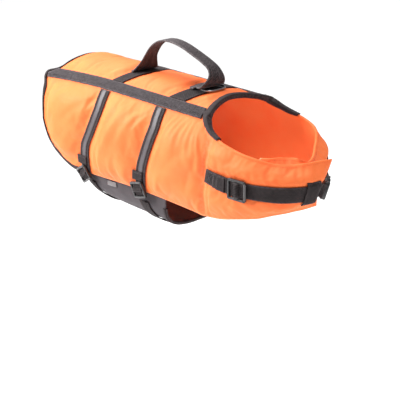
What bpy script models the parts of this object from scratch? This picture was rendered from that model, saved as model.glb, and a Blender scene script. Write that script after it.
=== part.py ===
"""Dog life jacket in its worn form, built as the real one is cut and sewn.

Sizes are in millimetres and become metres when a mesh is made. +X points to the dog's head,
+Y to its left and +Z up. The origin is the middle of the back panel's underside, where the
dog's back carries the jacket.

Each flank is one worn surface, from the rear edge round to the end of its chest float. A place on
it is a run (the distance along the side, seen from above) and a height z.
"""

import bisect
import math
from collections import namedtuple

import bmesh
import bpy
from mathutils import Matrix, Vector

JACKET = "dog_life_jacket"
MM = 0.001
RIGHT = -1
LEFT = 1
SIDE_NAMES = {RIGHT: "right", LEFT: "left"}

# ---------------------------------------------------------------- driving sizes
SEAM_GAP = 0.4            # between pieces that are sewn edge to edge
TAPE_GAP = 0.6            # between an edge and the tape folded over it
FLAP_TAPE_GAPS = {"rear": 1.1, "front": 0.7}   # wider where the thin flap's edge bends sharply
CORNER_TAPE_GAP = 2.2     # and where a tape turns over the seam beside the back panel
LIFT = 0.7                # between a panel and what lies on it
FLOAT_LIFT = 0.4          # more of it round the bend of the chest
FOAM_EDGE = 5.0           # a stitched panel, foam pressed flat
WEB_WIDTH = 25.0
WEB_THICK = 1.8
HANDLE_THICK = 3.0
HANDLE_CROWN = 14.0       # drop of its edges across its width, if it were as wide as the back
TAPE_THICK = 1.2
FLAP_TAPE_REACH = 5.0     # how far the tape laps over the flap
TAB_THICK = 3.0           # folded webbing, two layers
LABEL_THICK = 0.8

SPINE_Z = 5.0             # stitched outer face of the back panel at the spine
SPINE_PUFF = 5.0
BACK_REAR_X = -202.0
BACK_SKEW = 9.0           # the rear edge sits a little askew as worn
REAR_TURN = 0.76          # share of the half-width where that edge turns back to the side panel's
NECK_MID_X = 190.0
NECK_SIDE_X = 212.0
NECK_POWER = 1.6          # how round the neck edge is scooped
BACK_HALF = 75.0          # from the spine to the seam at the neck
SEAM_END_X = 208.0        # the seam beside the back panel runs straight on past here
NECK_TAPE_END = 258.0

SIDE_PUFF = 7.0
FLOAT_PUFF = 7.0
TUCKED_PUFF = 2.5
PROFILE_POWER = 2.5       # how square the barrel section is
CHANNEL_HALF = 14.0       # flat stitched width under a strap
SEAM_FILL = 0.6           # share of the puff left at the seam between side panel and float
SEAM_FILL_LOW = 0.15      # and at its low end

# A row for each upright section: where it stands, how far its top and low edges lean in, and
# how much its middle flares out towards the top.
Section = namedtuple("Section", "x out top_in top_z mid_z low_in low_z flare", defaults=(0.0,))

SIDE_SECTIONS = (
    Section(-212, 99, 14, -17, -98, 10, -184),
    Section(-129, 103, 24, -12, -100, 11, -186),
    Section(-48, 105, 30, -10, -104, 9, -180),
    Section(40, 106, 31, -10, -106, 7, -174),
    Section(130, 106, 31, -10, -106, 6, -172),
    Section(208, 103.8, 29, -10, -106, 4, -173),
    Section(225, 102.5, 16, -20, -104, 3, -174),
    Section(242, 101.5, 7, -28.5, -102, 2, -172),
)

CHEST_SECTIONS_RIGHT = (
    Section(270, 102, 1, -36, -100, 0, -166),
    Section(303, 101, 2, -43, -98, 4, -158),
    Section(336, 96, 7, -48, -96, 10, -151, 0.05),
    Section(367, 84, 16, -54, -95, 16, -142, 0.15),
    Section(388, 64, 18, -55, -94, 16, -137, 0.22),
    Section(398, 43, 12, -53, -94, 11, -133, 0.27),
    Section(402, 21, 6, -52, -94, 10, -132, 0.27),
    Section(399, -2, -4, -54, -94, 6, -132, 0.27),
    Section(395, -17, -7, -57, -94, 4, -132, 0.27),
)

# The left float wraps further in and ends under the right one.
CHEST_SECTIONS_LEFT = (
    Section(269, 100, 1, -36, -100, 0, -166),
    Section(296, 96, 3, -42, -98, 4, -158),
    Section(316, 87, 7, -48, -96, 8, -151, 0.1),
    Section(331, 72, 10, -53, -95, 10, -145, 0.15),
    Section(343, 55, 10, -57, -94, 10, -140, 0.2),
    Section(354, 37, 8, -60, -94, 10, -136, 0.25),
    Section(365, 18, 6, -61, -94, 10, -132, 0.27),
    Section(375, -1, 5, -60, -94, 10, -129, 0.27),
    Section(383, -19, 5, -57, -94, 11, -128, 0.22),
    Section(385.5, -38.5, 14, -49.5, -94, 12, -128, 0.16),
    Section(377, -57.5, 24, -50, -94, 16, -131, 0.08),
    Section(362, -74, 21, -48.5, -95, 16, -136, 0.04),
    Section(346, -82, 12, -49, -96, 12, -142),
    Section(331, -86.5, 9, -50, -96, 11, -146),
)

# The rear lower corner of each side panel is cut round.
CornerCut = namedtuple("CornerCut", "x low_z")
REAR_CORNER = (
    CornerCut(-212, -104), CornerCut(-208, -118), CornerCut(-197, -142),
    CornerCut(-182, -158), CornerCut(-164, -171), CornerCut(-129, -184.5), CornerCut(-100, -184.5),
)

# A strap crosses the back, then runs down each flank, leaning to the rear.
Strap = namedtuple(
    "Strap", "name back_mid_x back_side_x back_width low_z lock_lean tail_z belly_hem_x belly_low_x")
STRAPS = (
    Strap("rear", -24, -38, 27, -176, -18, -162, -86, -52),
    Strap("front", 134, 116, 38, -162, -8, -150, 68, 94),
)

# Middle of each girth strap down the flank.
StrapPlace = namedtuple("StrapPlace", "z rear front")
STRAP_PLACES = (
    StrapPlace(-180, -87, 72), StrapPlace(-150, -83, 75), StrapPlace(-125, -78, 80),
    StrapPlace(-95, -62, 91), StrapPlace(-70, -50, 100), StrapPlace(-45, -43, 106),
    StrapPlace(-10, -42, 105),
)

SEAM_TOP_RUN = 240.0      # the seam between side panel and chest float
SEAM_LOW_RUN = 229.0
SEAM_HEIGHT = 146.0

# Ends of the right chest float: it is cut at a slant, its top corner pointed.
FLOAT_END_TOP = 478.0
FLOAT_END_MID = 449.0
FLOAT_END_LOW = 456.0
FLOAT_END_HEIGHT = 78.0
FLOAT_END_BEND = 0.6      # share of that height down to where the cut turns

# The belly flap, seen from the side: its lowest line, and its ends at the hem and underneath.
BellyPlace = namedtuple("BellyPlace", "x low_z")
BELLY_PLACES = (
    BellyPlace(-142, -206), BellyPlace(-126, -216), BellyPlace(-95, -228), BellyPlace(-60, -237),
    BellyPlace(0, -240), BellyPlace(60, -240), BellyPlace(124, -239),
)
BELLY_THICK = 2.0
BELLY_POWER = 2.9         # how square the belly section is
BELLY_TUCK = 18.0         # height of the flap's edge hidden inside the hem
BELLY_TURN = 0.97         # how far round the flap shows, where 1 is the hem
BELLY_STEPS = 22
STRAP_TURN = 0.88         # how far round a belly strap reaches
BELLY_REAR = (-138.0, -128.0)
BELLY_FRONT = (126.0, 118.0)

# The chest strap's middle height on the float, and the runs where its pieces lie.
StrapHeight = namedtuple("StrapHeight", "run z")
CHEST_STRAP = (
    StrapHeight(230, -95), StrapHeight(270, -97), StrapHeight(313, -99), StrapHeight(360, -97),
    StrapHeight(430, -96), StrapHeight(480, -96),
)
TAB_RUNS = {RIGHT: (241.0, 312.0), LEFT: (241.0, 286.0)}
TAB_SLANT = 6.0           # its sewn end leans with the seam
CHEST_LOCK_RUN = {RIGHT: 313.0, LEFT: 287.0}
LOCK_LENGTH = 36.0
LOCK_SEAT = 2.8           # middle of a lock above the webbing under it
LOCK_WIDTH = 35.0
LOCK_WINDOW = 26.0
LOCK_BAR = 4.0
LOCK_THICK = 4.0
HEM_LOCK_LENGTH = 31.0
HEM_LOCK_DROP = 6.5       # its middle below the end of the strap's line
TAIL_LENGTH = 17.0
TAIL_SHIFT = 6.0          # the free end lies a little to the rear of its strap
CHEST_STRAP_END = 445.0
KEEPER_RUNS = (414.0, 436.0)
KEEPER_LEAN = 0.15
LEFT_STRAP_LEAVES = 378.0
BUCKLE_ENDS = (Vector((408.4, -13.0, -102.0)), Vector((383.7, 21.0, -102.0)))
BUCKLE_HEIGHT = 30.0
BUCKLE_THICK = 9.0
BUCKLE_LEAN = 0.27        # its top leans out with the flared cloth
SOCKET_SHARE = 0.6        # of the buckle's length
PLUG_SHRINK = 0.86

# The handle's middle line, how far it reaches to each side of the spine, and how far its left edge
# lies ahead of its right edge.
HandlePlace = namedtuple("HandlePlace", "x z right left skew", defaults=(0.0,))
HANDLE_PLACES = (
    HandlePlace(-38, 7.9, -25, 25), HandlePlace(-31, 8.1, -25, 25, 4), HandlePlace(-25, 12, -24, 24, 10),
    HandlePlace(-19, 20, -20, 20, 8), HandlePlace(-14, 29, -17, 17, 4), HandlePlace(-8, 40, -16, 14, 2),
    HandlePlace(4, 57, -14, 15), HandlePlace(20, 68, -12, 15), HandlePlace(38, 72, -10, 15),
    HandlePlace(58, 71.5, -10, 15), HandlePlace(80, 67, -10, 15), HandlePlace(104, 59, -10, 15.5),
    HandlePlace(128, 50, -10, 16), HandlePlace(143, 42, -11, 17), HandlePlace(151, 33, -17, 18),
    HandlePlace(152.5, 25, -25, 19, 4), HandlePlace(148, 18.4, -31, 22, 6),
    HandlePlace(140, 16.6, -30, 24, 3), HandlePlace(130, 16.3, -27, 25), HandlePlace(122, 11.6, -26, 25),
    HandlePlace(115, 11.2, -25, 25),
)

# The metal ring under the handle's front foot.
RING_BAR_X = 137.0
RING_BOW_X = 161.0
RING_HALF = 22.0
RING_Z = 9.6
RING_WIRE = 3.4

# Large soft creases: a trough (or ridge, below zero) with its middle, half-lengths and tilt.
Crease = namedtuple("Crease", "run z along across tilt depth")
CREASES = (
    Crease(118, -140, 34, 13, 70, 2.4),
    Crease(92, -150, 30, 9, 72, -2.0),
    Crease(178, -62, 30, 8, -58, 1.8),
    Crease(205, -70, 26, 7, -62, 1.6),
    Crease(222, -140, 30, 7, 84, 1.6),
    Crease(20, -150, 22, 12, 80, 1.8),
    Crease(-30, -45, 26, 9, -55, 1.3),
    Crease(-160, -60, 34, 11, -60, 1.4),
    Crease(262, -62, 26, 8, -50, 1.5),
    Crease(330, -140, 30, 8, 8, 1.6),
)

# A spine webbing's columns, from the back panel over the seam to the side panel: how far each lies
# inside the seam, or below it on the side, and where it starts and ends.
WebbingColumn = namedtuple("WebbingColumn", "inside below rear_x front_x")
WEBBING_COLUMNS = (
    WebbingColumn(14.5, 0.0, -193, 193), WebbingColumn(7.5, 0.0, -199, 196),
    WebbingColumn(-0.6, 0.0, -206, 199.5), WebbingColumn(0.0, 3.2, -206.5, 200),
    WebbingColumn(0.0, 6.6, -206.5, 200),
)

# How far the edge tapes lap over the foam panels: round the neck by share of the back's half-width
# and then by run, and round the rear by height.
TapeReach = namedtuple("TapeReach", "place reach")
NECK_BACK_REACH = (TapeReach(0, 8), TapeReach(0.6, 9), TapeReach(1, 10))
NECK_SIDE_REACH = (TapeReach(NECK_SIDE_X, 7.5), TapeReach(235, 5.5), TapeReach(NECK_TAPE_END, 2))
REAR_BACK_REACH = 3.0
REAR_SIDE_REACH = (
    TapeReach(-186, 8), TapeReach(-160, 7), TapeReach(-135, 3.5), TapeReach(-100, 2.5),
    TapeReach(-62, 3.5), TapeReach(-38, 8), TapeReach(-27, 3.5), TapeReach(-17, 3),
)
INSIDE_REACH = 5.0        # the most that a tape laps over a panel's inner face

# ---------------------------------------------------------------- finishes
Finish = namedtuple("Finish", "color roughness metallic")
FINISHES = {
    "shell_cloth": Finish("FC9A4E", 0.75, 0.0),
    "webbing": Finish("4A4246", 0.85, 0.0),
    "belly_cloth": Finish("454145", 0.85, 0.0),
    "edge_tape": Finish("3A3236", 0.85, 0.0),
    "plastic": Finish("2C2A2B", 0.45, 0.0),
    "ring_metal": Finish("B8B8BC", 0.3, 1.0),
    "label_cloth": Finish("E6E4E0", 0.8, 0.0),
}


def linear_channel(value):
    """Turn one 0-1 sRGB channel into its linear value."""
    if value <= 0.04045:
        return value / 12.92
    return ((value + 0.055) / 1.055) ** 2.4


def make_material(name):
    """Make the Principled material of one finish."""
    finish = FINISHES[name]
    material = bpy.data.materials.new(name)
    material.use_nodes = True
    shader = material.node_tree.nodes["Principled BSDF"]
    channels = [linear_channel(int(finish.color[i:i + 2], 16) / 255) for i in (0, 2, 4)]
    shader.inputs["Base Color"].default_value = (*channels, 1.0)
    shader.inputs["Roughness"].default_value = finish.roughness
    shader.inputs["Metallic"].default_value = finish.metallic
    material.diffuse_color = (*channels, 1.0)
    return material


# ---------------------------------------------------------------- small maths
def lerp(start, end, share):
    """The value a share of the way from start to end."""
    return start + (end - start) * share


def ramp(distance, width):
    """Rise smoothly from 0 to 1 over a width."""
    share = min(max(distance / width, 0.0), 1.0)
    return share * share * (3 - 2 * share)


def spread(start, end, count):
    """Count + 1 even values from start to end."""
    return [lerp(start, end, i / count) for i in range(count + 1)]


class Curve:
    """A smooth curve through rows of numbers, with no overshoot between them."""

    def __init__(self, keys, values):
        self.keys = keys
        self.values = values
        steps = [b - a for a, b in zip(keys, keys[1:])]
        slopes = [(b - a) / step for a, b, step in zip(values, values[1:], steps)]
        self.tangents = [slopes[0]]
        for before, after in zip(slopes, slopes[1:]):
            flat = before * after <= 0
            self.tangents.append(0.0 if flat else 2 * before * after / (before + after))
        self.tangents.append(slopes[-1])

    def at(self, key):
        """The value at a key; past an end it runs on straight."""
        i = min(max(bisect.bisect_right(self.keys, key) - 1, 0), len(self.keys) - 2)
        step = self.keys[i + 1] - self.keys[i]
        share = (key - self.keys[i]) / step
        low, high = self.values[i], self.values[i + 1]
        if share < 0:
            return low + self.tangents[i] * step * share
        if share > 1:
            return high + self.tangents[i + 1] * step * (share - 1)
        rise = share * share * (3 - 2 * share)
        bend_in = share * (1 - share) ** 2 * self.tangents[i]
        bend_out = -share * share * (1 - share) * self.tangents[i + 1]
        return lerp(low, high, rise) + step * (bend_in + bend_out)


# ---------------------------------------------------------------- meshes
def add_part(name, shape, finish):
    """Make a piece of the jacket from a mesh or a curve."""
    item = bpy.data.objects.new(name, shape)
    bpy.data.collections[JACKET].objects.link(item)
    shape.materials.append(finish)
    return item


def add_object(name, points, faces, finish):
    """Make a mesh object from points in millimetres."""
    mesh = bpy.data.meshes.new(name)
    mesh.from_pydata([Vector(point) * MM for point in points], [], faces)
    mesh.update()
    return add_part(name, mesh, finish)


def grid_faces(rows, columns, flip, start=0):
    """Quads of a rows by columns grid of points."""
    faces = []
    for i in range(rows - 1):
        for j in range(columns - 1):
            a = start + i * columns + j
            quad = (a, a + columns, a + columns + 1, a + 1)
            faces.append(quad[::-1] if flip else quad)
    return faces


def add_wall(name, outer, inner, finish, flip=False):
    """Close two like grids of points into one padded wall."""
    rows, columns = len(outer), len(outer[0])
    size = rows * columns
    points = [point for row in outer + inner for point in row]
    faces = grid_faces(rows, columns, flip) + grid_faces(rows, columns, not flip, size)
    rim = [i * columns for i in range(rows)]
    rim += [(rows - 1) * columns + j for j in range(1, columns)]
    rim += [i * columns + columns - 1 for i in range(rows - 2, -1, -1)]
    rim += [j for j in range(columns - 2, 0, -1)]
    for a, b in zip(rim, rim[1:] + rim[:1]):
        quad = (b, a, a + size, b + size)
        faces.append(quad[::-1] if flip else quad)
    return add_object(name, points, faces, finish)


def add_strip(name, grid, thickness, finish, flip=False):
    """A strip of webbing: an open grid of points with an outward Solidify."""
    rows, columns = len(grid), len(grid[0])
    points = [point for row in grid for point in row]
    item = add_object(name, points, grid_faces(rows, columns, flip), finish)
    solidify = item.modifiers.new("thickness", "SOLIDIFY")
    solidify.thickness = thickness * MM
    solidify.offset = 1.0
    return item


def add_loft(name, rings, finish, flip=False):
    """Join closed rings of points into a solid with flat ends."""
    count = len(rings[0])
    points = [point for ring in rings for point in ring]
    faces = []
    for i in range(len(rings) - 1):
        for j in range(count):
            k = (j + 1) % count
            quad = (i * count + j, i * count + k, (i + 1) * count + k, (i + 1) * count + j)
            faces.append(quad[::-1] if flip else quad)
    first = tuple(range(count))
    last = tuple((len(rings) - 1) * count + j for j in range(count))
    faces.append(first if flip else first[::-1])
    faces.append(last[::-1] if flip else last)
    return add_object(name, points, faces, finish)


# ---------------------------------------------------------------- worn surfaces
class Flank:
    """One side of the jacket as worn, its stitched surface and its puffs."""

    def __init__(self, side, chest_sections):
        self.side = side
        rows = SIDE_SECTIONS + chest_sections
        self.runs = [float(rows[0].x)]
        for before, after in zip(rows, rows[1:]):
            step = math.hypot(after.x - before.x, after.out - before.out)
            self.runs.append(self.runs[-1] + step)
        self.columns = {
            name: Curve(self.runs, [float(getattr(row, name)) for row in rows])
            for name in Section._fields
        }
        self.corner = Curve([cut.x for cut in REAR_CORNER], [cut.low_z for cut in REAR_CORNER])

    def value(self, name, run):
        """One column of the sections at a run."""
        return self.columns[name].at(run)

    def low_edge(self, run):
        """Height of the hem, with the rear corner cut off."""
        low = self.value("low_z", run)
        if run < REAR_CORNER[-1].x:
            return max(low, self.corner.at(run))
        return low

    def base(self, run, z):
        """A point of the stitched outer surface."""
        step = 0.5
        along = Vector((
            self.value("x", run + step) - self.value("x", run - step),
            self.value("out", run + step) - self.value("out", run - step),
        )).normalized()
        mid = self.value("mid_z", run)
        edge, reach = ("top_in", "top_z") if z > mid else ("low_in", "low_z")
        height = self.value(reach, run) - mid
        share = (z - mid) / height
        bend = share ** PROFILE_POWER
        lean = self.value(edge, run) * bend + self.value("flare", run) * height * (bend - share)
        x = self.value("x", run) + along.y * lean
        out = self.value("out", run) - along.x * lean
        return Vector((x, self.side * out, z))

    def normal(self, run, z):
        """The outward direction at a point of the stitched surface."""
        step = 1.0
        along = self.base(run + step, z) - self.base(run - step, z)
        up = self.base(run, z + step) - self.base(run, z - step)
        return (up.cross(along) * self.side).normalized()

    def puff(self, run, z):
        """How far the foam swells out of the stitched surface."""
        top = self.value("top_z", run)
        low = self.low_edge(run)
        seam = seam_run(self, z)
        fill = lerp(SEAM_FILL_LOW, SEAM_FILL, ramp(z - low - 10, 40))
        fill = lerp(fill, 1.0, ramp(abs(run - seam) - 1, 20))
        if run < seam:
            bound = lerp(20.0, 1.0, ramp(run - REAR_CORNER[-1].x, 20))
            height = SIDE_PUFF * ramp(run - self.runs[0] - 10, 26) * fill
            height *= ramp(top - z - 9, 30) * ramp(z - low - bound, 24)
            for strap in STRAPS:
                height *= ramp(abs(run - strap_run(strap, z)) - CHANNEL_HALF, 24)
        else:
            height = FLOAT_PUFF * fill * ramp(self.float_end(z) - run - 1, 18)
            taped = lerp(11.0, 4.0, ramp(run - NECK_TAPE_END + 16, 20))
            height *= ramp(top - z - taped, 20) * ramp(z - low - 1, 20)
            if self.side == LEFT:
                height *= lerp(1.0, TUCKED_PUFF / FLOAT_PUFF, ramp(run - 360, 60))
        return height

    def crease(self, run, z):
        """The largest soft folds, troughs above zero."""
        depth = 0.0
        for fold in CREASES:
            tilt = math.radians(fold.tilt)
            across_run, across_z = run - fold.run, z - fold.z
            along = across_run * math.cos(tilt) + across_z * math.sin(tilt)
            across = across_z * math.cos(tilt) - across_run * math.sin(tilt)
            depth += fold.depth * math.exp(-(along / fold.along) ** 2 - (across / fold.across) ** 2)
        return depth

    def outer(self, run, z, lift=0.0):
        """A point of the outer face, or one lifted off it."""
        swell = self.puff(run, z)
        swell -= self.crease(run, z) * min(swell / SIDE_PUFF, 1.0)
        return self.base(run, z) + self.normal(run, z) * (swell + lift)

    def inner(self, run, z):
        """A point of the plain inner face."""
        return self.base(run, z) - self.normal(run, z) * FOAM_EDGE

    def float_end(self, z):
        """Run of the chest float's free end at a height."""
        if self.side == LEFT:
            return self.runs[-1]
        share = (self.value("top_z", FLOAT_END_MID) - z) / FLOAT_END_HEIGHT
        if share < FLOAT_END_BEND:
            return lerp(FLOAT_END_TOP, FLOAT_END_MID, share / FLOAT_END_BEND)
        return lerp(FLOAT_END_MID, FLOAT_END_LOW, (share - FLOAT_END_BEND) / (1 - FLOAT_END_BEND))


def seam_run(flank, z):
    """Run of the seam between side panel and chest float at a height."""
    share = (flank.value("top_z", SEAM_TOP_RUN) - z) / SEAM_HEIGHT
    return lerp(SEAM_TOP_RUN, SEAM_LOW_RUN, share)


STRAP_ZS = [place.z for place in STRAP_PLACES]
STRAP_CURVES = {
    strap.name: Curve(STRAP_ZS, [getattr(place, strap.name) for place in STRAP_PLACES])
    for strap in STRAPS
}


def strap_run(strap, z):
    """Run of a girth strap's middle at a height on the flank."""
    return STRAP_CURVES[strap.name].at(z)


def heights(flank, run, shares):
    """Heights from the top edge to the low edge at a run."""
    top, low = flank.value("top_z", run), flank.low_edge(run)
    return [lerp(top, low, share) for share in shares]


SIDE_SHARES = [0.0, 0.035, 0.07, 0.13, 0.21, 0.3, 0.4, 0.5, 0.6, 0.7, 0.8, 0.88, 0.95, 1.0]
SIDE_STEPS = (9, 2, 9, 2, 11)   # mesh columns between the stops of a side panel
REAR_EASE = 1.4                 # closer columns at the rear binding
FLOAT_SHARES = [0.0, 0.07, 0.16, 0.28, 0.4, 0.5, 0.6, 0.72, 0.84, 0.93, 1.0]


def side_stops(flank, z):
    """Runs at a height of the rear edge, both sides of each strap's channel, and the seam."""
    stops = [flank.runs[0]]
    for strap in STRAPS:
        stops += [strap_run(strap, z) - CHANNEL_HALF, strap_run(strap, z) + CHANNEL_HALF]
    return stops + [seam_run(flank, z) - SEAM_GAP / 2]


def side_columns(flank, share):
    """Run and height of the side panel's mesh columns at one share of its height."""
    parts = []
    for stop, count in enumerate(SIDE_STEPS):
        ease = REAR_EASE if stop == 0 else 1.0
        parts += [(stop, (i / count) ** ease) for i in range(count)]
    parts.append((len(SIDE_STEPS) - 1, 1.0))
    placed = []
    for stop, part in parts:
        z = lerp(-10.0, -175.0, share)
        for _ in range(3):
            stops = side_stops(flank, z)
            run = lerp(stops[stop], stops[stop + 1], part)
            z = heights(flank, run, [share])[0]
        placed.append((run, z))
    return placed


def seam_inward(flank, x):
    """From the outer to the inner face at the mitred seam between back and side."""
    x = min(x, SEAM_END_X)
    half, top = seam_half(flank, x), flank.value("top_z", x)
    side_normal = flank.normal(x, top)
    back_normal = Vector((0.0, flank.side * 2 * (SPINE_Z - top) / half, 1.0)).normalized()
    mitre = (side_normal + back_normal).normalized()
    return mitre * (-FOAM_EDGE / mitre.dot(back_normal))


def add_side_panel(flank, finish):
    """The foam-filled flank from the rear edge to the chest float."""
    columns = [side_columns(flank, share) for share in SIDE_SHARES]
    outer = [[flank.outer(run, z) for run, z in row] for row in columns]
    inner = [[flank.inner(run, z) for run, z in row] for row in columns]
    for i, (run, z) in enumerate(columns[0]):
        free = ramp(run - NECK_SIDE_X, 12)
        mitred = flank.base(run, z) + seam_inward(flank, run)
        inner[0][i] = mitred.lerp(inner[0][i], free)
    return add_wall(f"side_panel_{SIDE_NAMES[flank.side]}", outer, inner, finish, flank.side == LEFT)


def add_chest_float(flank, finish):
    """The foam-filled band round one side of the chest."""
    steps = 26 if flank.side == RIGHT else 32
    outer, inner = [], []
    for share in FLOAT_SHARES:
        outer_row, inner_row = [], []
        for i in range(steps + 1):
            z = lerp(-27.0, -172.0, share)
            for _ in range(4):
                run = lerp(seam_run(flank, z) + SEAM_GAP / 2, flank.float_end(z), i / steps)
                z = heights(flank, run, [share])[0]
            outer_row.append(flank.outer(run, z))
            inner_row.append(flank.inner(run, z))
        outer.append(outer_row)
        inner.append(inner_row)
    return add_wall(f"chest_float_{SIDE_NAMES[flank.side]}", outer, inner, finish, flank.side == LEFT)


# ---------------------------------------------------------------- back panel
def neck_x(share):
    """The back panel's scooped front edge, a share of the way from the spine to the seam."""
    return lerp(NECK_MID_X, NECK_SIDE_X, min(abs(share), 1.0) ** NECK_POWER)


def back_rear_x(share):
    """The back panel's rear edge, which turns to meet the side panel's."""
    middle = BACK_REAR_X - BACK_SKEW * share
    return lerp(middle, SIDE_SECTIONS[0].x, ramp(abs(share) - REAR_TURN, 1 - REAR_TURN))


def cross_x(strap, share):
    """Middle of a cross strap, a share of the way from the spine to the seam."""
    return lerp(strap.back_mid_x, strap.back_side_x, abs(share) ** 1.5)


def seam_half(flank, x):
    """From the spine to the seam under a spine webbing."""
    x = min(x, SEAM_END_X)
    return flank.value("out", x) - flank.value("top_in", x)


def back_point(flank, x, y, lift=0.0, puffed=True):
    """A point of the back panel's outer face, or one lifted off it."""
    half = seam_half(flank, x)
    seam_z = flank.value("top_z", min(x, SEAM_END_X))
    crown = SPINE_Z - seam_z
    share = y / half
    normal = Vector((0.0, 2 * crown * share / half, 1.0)).normalized()
    point = Vector((x, y, seam_z + crown * (1 - share * share))) + normal * lift
    if puffed:
        puff = SPINE_PUFF * ramp(half - abs(y) - 17, 28)
        puff *= ramp(x - back_rear_x(share) - 2, 26) * ramp(neck_x(share) - x - 10, 22)
        for strap in STRAPS:
            puff *= ramp(abs(x - cross_x(strap, share)) - strap.back_width / 2 - 1.5, 24)
        point += normal * puff
    return point


BACK_SHARES = [0, 0.17, 0.34, 0.5, 0.65, 0.79, 0.9, 1.0]
BACK_STEPS = (10, 2, 8, 2, 5)


def add_back_panel(flank, finish):
    """The foam-filled panel between the spine webbings."""
    outer, inner = [], []
    shares = [-share for share in BACK_SHARES[:0:-1]] + BACK_SHARES
    for share in shares:
        stops = [back_rear_x(share)]
        for strap in STRAPS:
            reach = strap.back_width / 2 + 1.5
            stops += [cross_x(strap, share) - reach, cross_x(strap, share) + reach]
        stops.append(neck_x(share))
        runs = []
        for stop, count in enumerate(BACK_STEPS):
            ease = REAR_EASE if stop == 0 else 1.0
            runs += [lerp(stops[stop], stops[stop + 1], (i / count) ** ease) for i in range(count)]
        runs.append(stops[-1])
        places = [(x, share * (seam_half(flank, x) - SEAM_GAP)) for x in runs]
        outer.append([back_point(flank, x, y) for x, y in places])
        if abs(share) < 1:
            inner.append([back_point(flank, x, y, -FOAM_EDGE, puffed=False) for x, y in places])
        else:
            turned = Vector((1.0, share * flank.side, 1.0))
            edge = [(back_point(flank, x, y), seam_inward(flank, x)) for x, y in places]
            inner.append([point + inward * turned for point, inward in edge])
    return add_wall("back_panel", outer, inner, finish, flip=True)


# ---------------------------------------------------------------- webbing on the panels
def half_widths(count, width=WEB_WIDTH):
    """Steps across a webbing from one edge to the other."""
    return spread(-width / 2, width / 2, count)


def webbing_point(flank, column, x):
    """A point of a spine webbing's underside."""
    half, top = seam_half(flank, x), flank.value("top_z", min(x, SEAM_END_X))
    if column.below > 0:
        return flank.outer(x, top - column.below, LIFT)
    if column.inside > 0:
        return back_point(flank, x, flank.side * (half - column.inside), LIFT)
    return Vector((x, flank.side * (half - column.inside), top + LIFT + 0.3))


def add_spine_webbing(flank, finish):
    """Webbing over the seam between the back panel and one side panel."""
    rows = []
    for share in spread(0.0, 1.0, 34):
        rows.append([
            webbing_point(flank, column, lerp(column.rear_x, column.front_x, share))
            for column in WEBBING_COLUMNS])
    name = f"spine_webbing_{SIDE_NAMES[flank.side]}"
    return add_strip(name, rows, WEB_THICK, finish, flank.side == RIGHT)


def add_cross_strap(flank, strap, finish):
    """Webbing across the back between the spine webbings."""
    end = seam_half(flank, strap.back_side_x) - 15.5
    reach = strap.back_width / 2
    rows = []
    for y in spread(-end, end, 16):
        middle = cross_x(strap, y / seam_half(flank, strap.back_side_x))
        rows.append([back_point(flank, middle + step, y, LIFT) for step in spread(-reach, reach, 2)])
    return add_strip(f"cross_strap_{strap.name}", rows, WEB_THICK, finish, flip=True)


def add_girth_strap(flank, strap, finish):
    """Webbing down a flank from the spine webbing to the adjuster."""
    top = flank.value("top_z", strap_run(strap, -20)) - 7.4
    rows = []
    for z in spread(top, strap.low_z - 19, 22):
        middle = strap_run(strap, z)
        rows.append([flank.outer(middle + step, z, LIFT) for step in half_widths(2)])
    name = f"girth_strap_{strap.name}_{SIDE_NAMES[flank.side]}"
    return add_strip(name, rows, WEB_THICK, finish, flank.side == LEFT)


# ---------------------------------------------------------------- belly flap and straps
BELLY_TURNS = spread(-BELLY_TURN, BELLY_TURN, BELLY_STEPS)
BELLY_LOW = Curve([place.x for place in BELLY_PLACES], [place.low_z for place in BELLY_PLACES])


def flap_inset(x):
    """How far the flap lies inside the side panel's outer face, deeper behind its binding."""
    return FOAM_EDGE + lerp(3.3, 1.8, ramp(x - REAR_CORNER[-1].x - 8, 14))


def belly_surface(flank, x, turn):
    """Outer face of the belly flap; turn runs from -1 at the right hem to 1 at the left hem."""
    hem_z = flank.low_edge(x)
    half = flank.value("out", x) - flank.value("low_in", x) - flap_inset(x)
    angle = math.pi / 2 * (1 - abs(turn))
    power = 2 / BELLY_POWER
    y = math.copysign(half * math.cos(angle) ** power, turn)
    return Vector((x, y, hem_z - (hem_z - BELLY_LOW.at(x)) * math.sin(angle) ** power))


def belly_point(flank, x, turn, lift=0.0):
    """A point of the belly flap's outer face, or one lifted off it."""
    step = 0.004
    across = belly_surface(flank, x, turn + step) - belly_surface(flank, x, turn - step)
    along = belly_surface(flank, x + 1, turn) - belly_surface(flank, x - 1, turn)
    return belly_surface(flank, x, turn) + across.cross(along).normalized() * lift


def tucked_point(flank, side, x, rise, lift=0.0):
    """A point of the flap's edge, which lies inside the hem."""
    z = flank.low_edge(x) + rise
    point = flank.base(x, z) - flank.normal(x, z) * (flap_inset(x) - lift)
    point.y = abs(point.y) * side
    return point


def add_belly_flap(flank, finish):
    """Single cloth under the belly, tucked inside both hems."""
    rises = (BELLY_TUCK, BELLY_TUCK / 2)
    rows = []
    for i in range(15):
        share = (i / 14) ** 1.3
        x = lerp(BELLY_REAR[0], BELLY_FRONT[0], share)
        row = [tucked_point(flank, RIGHT, x, rise, -BELLY_THICK) for rise in rises]
        for turn in BELLY_TURNS:
            rear = lerp(BELLY_REAR[1], BELLY_REAR[0], turn * turn)
            front = lerp(BELLY_FRONT[1], BELLY_FRONT[0], turn * turn)
            row.append(belly_point(flank, lerp(rear, front, share), turn, -BELLY_THICK))
        row += [tucked_point(flank, LEFT, x, rise, -BELLY_THICK) for rise in reversed(rises)]
        rows.append(row)
    return add_strip("belly_flap", rows, BELLY_THICK, finish, flip=True)


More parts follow.
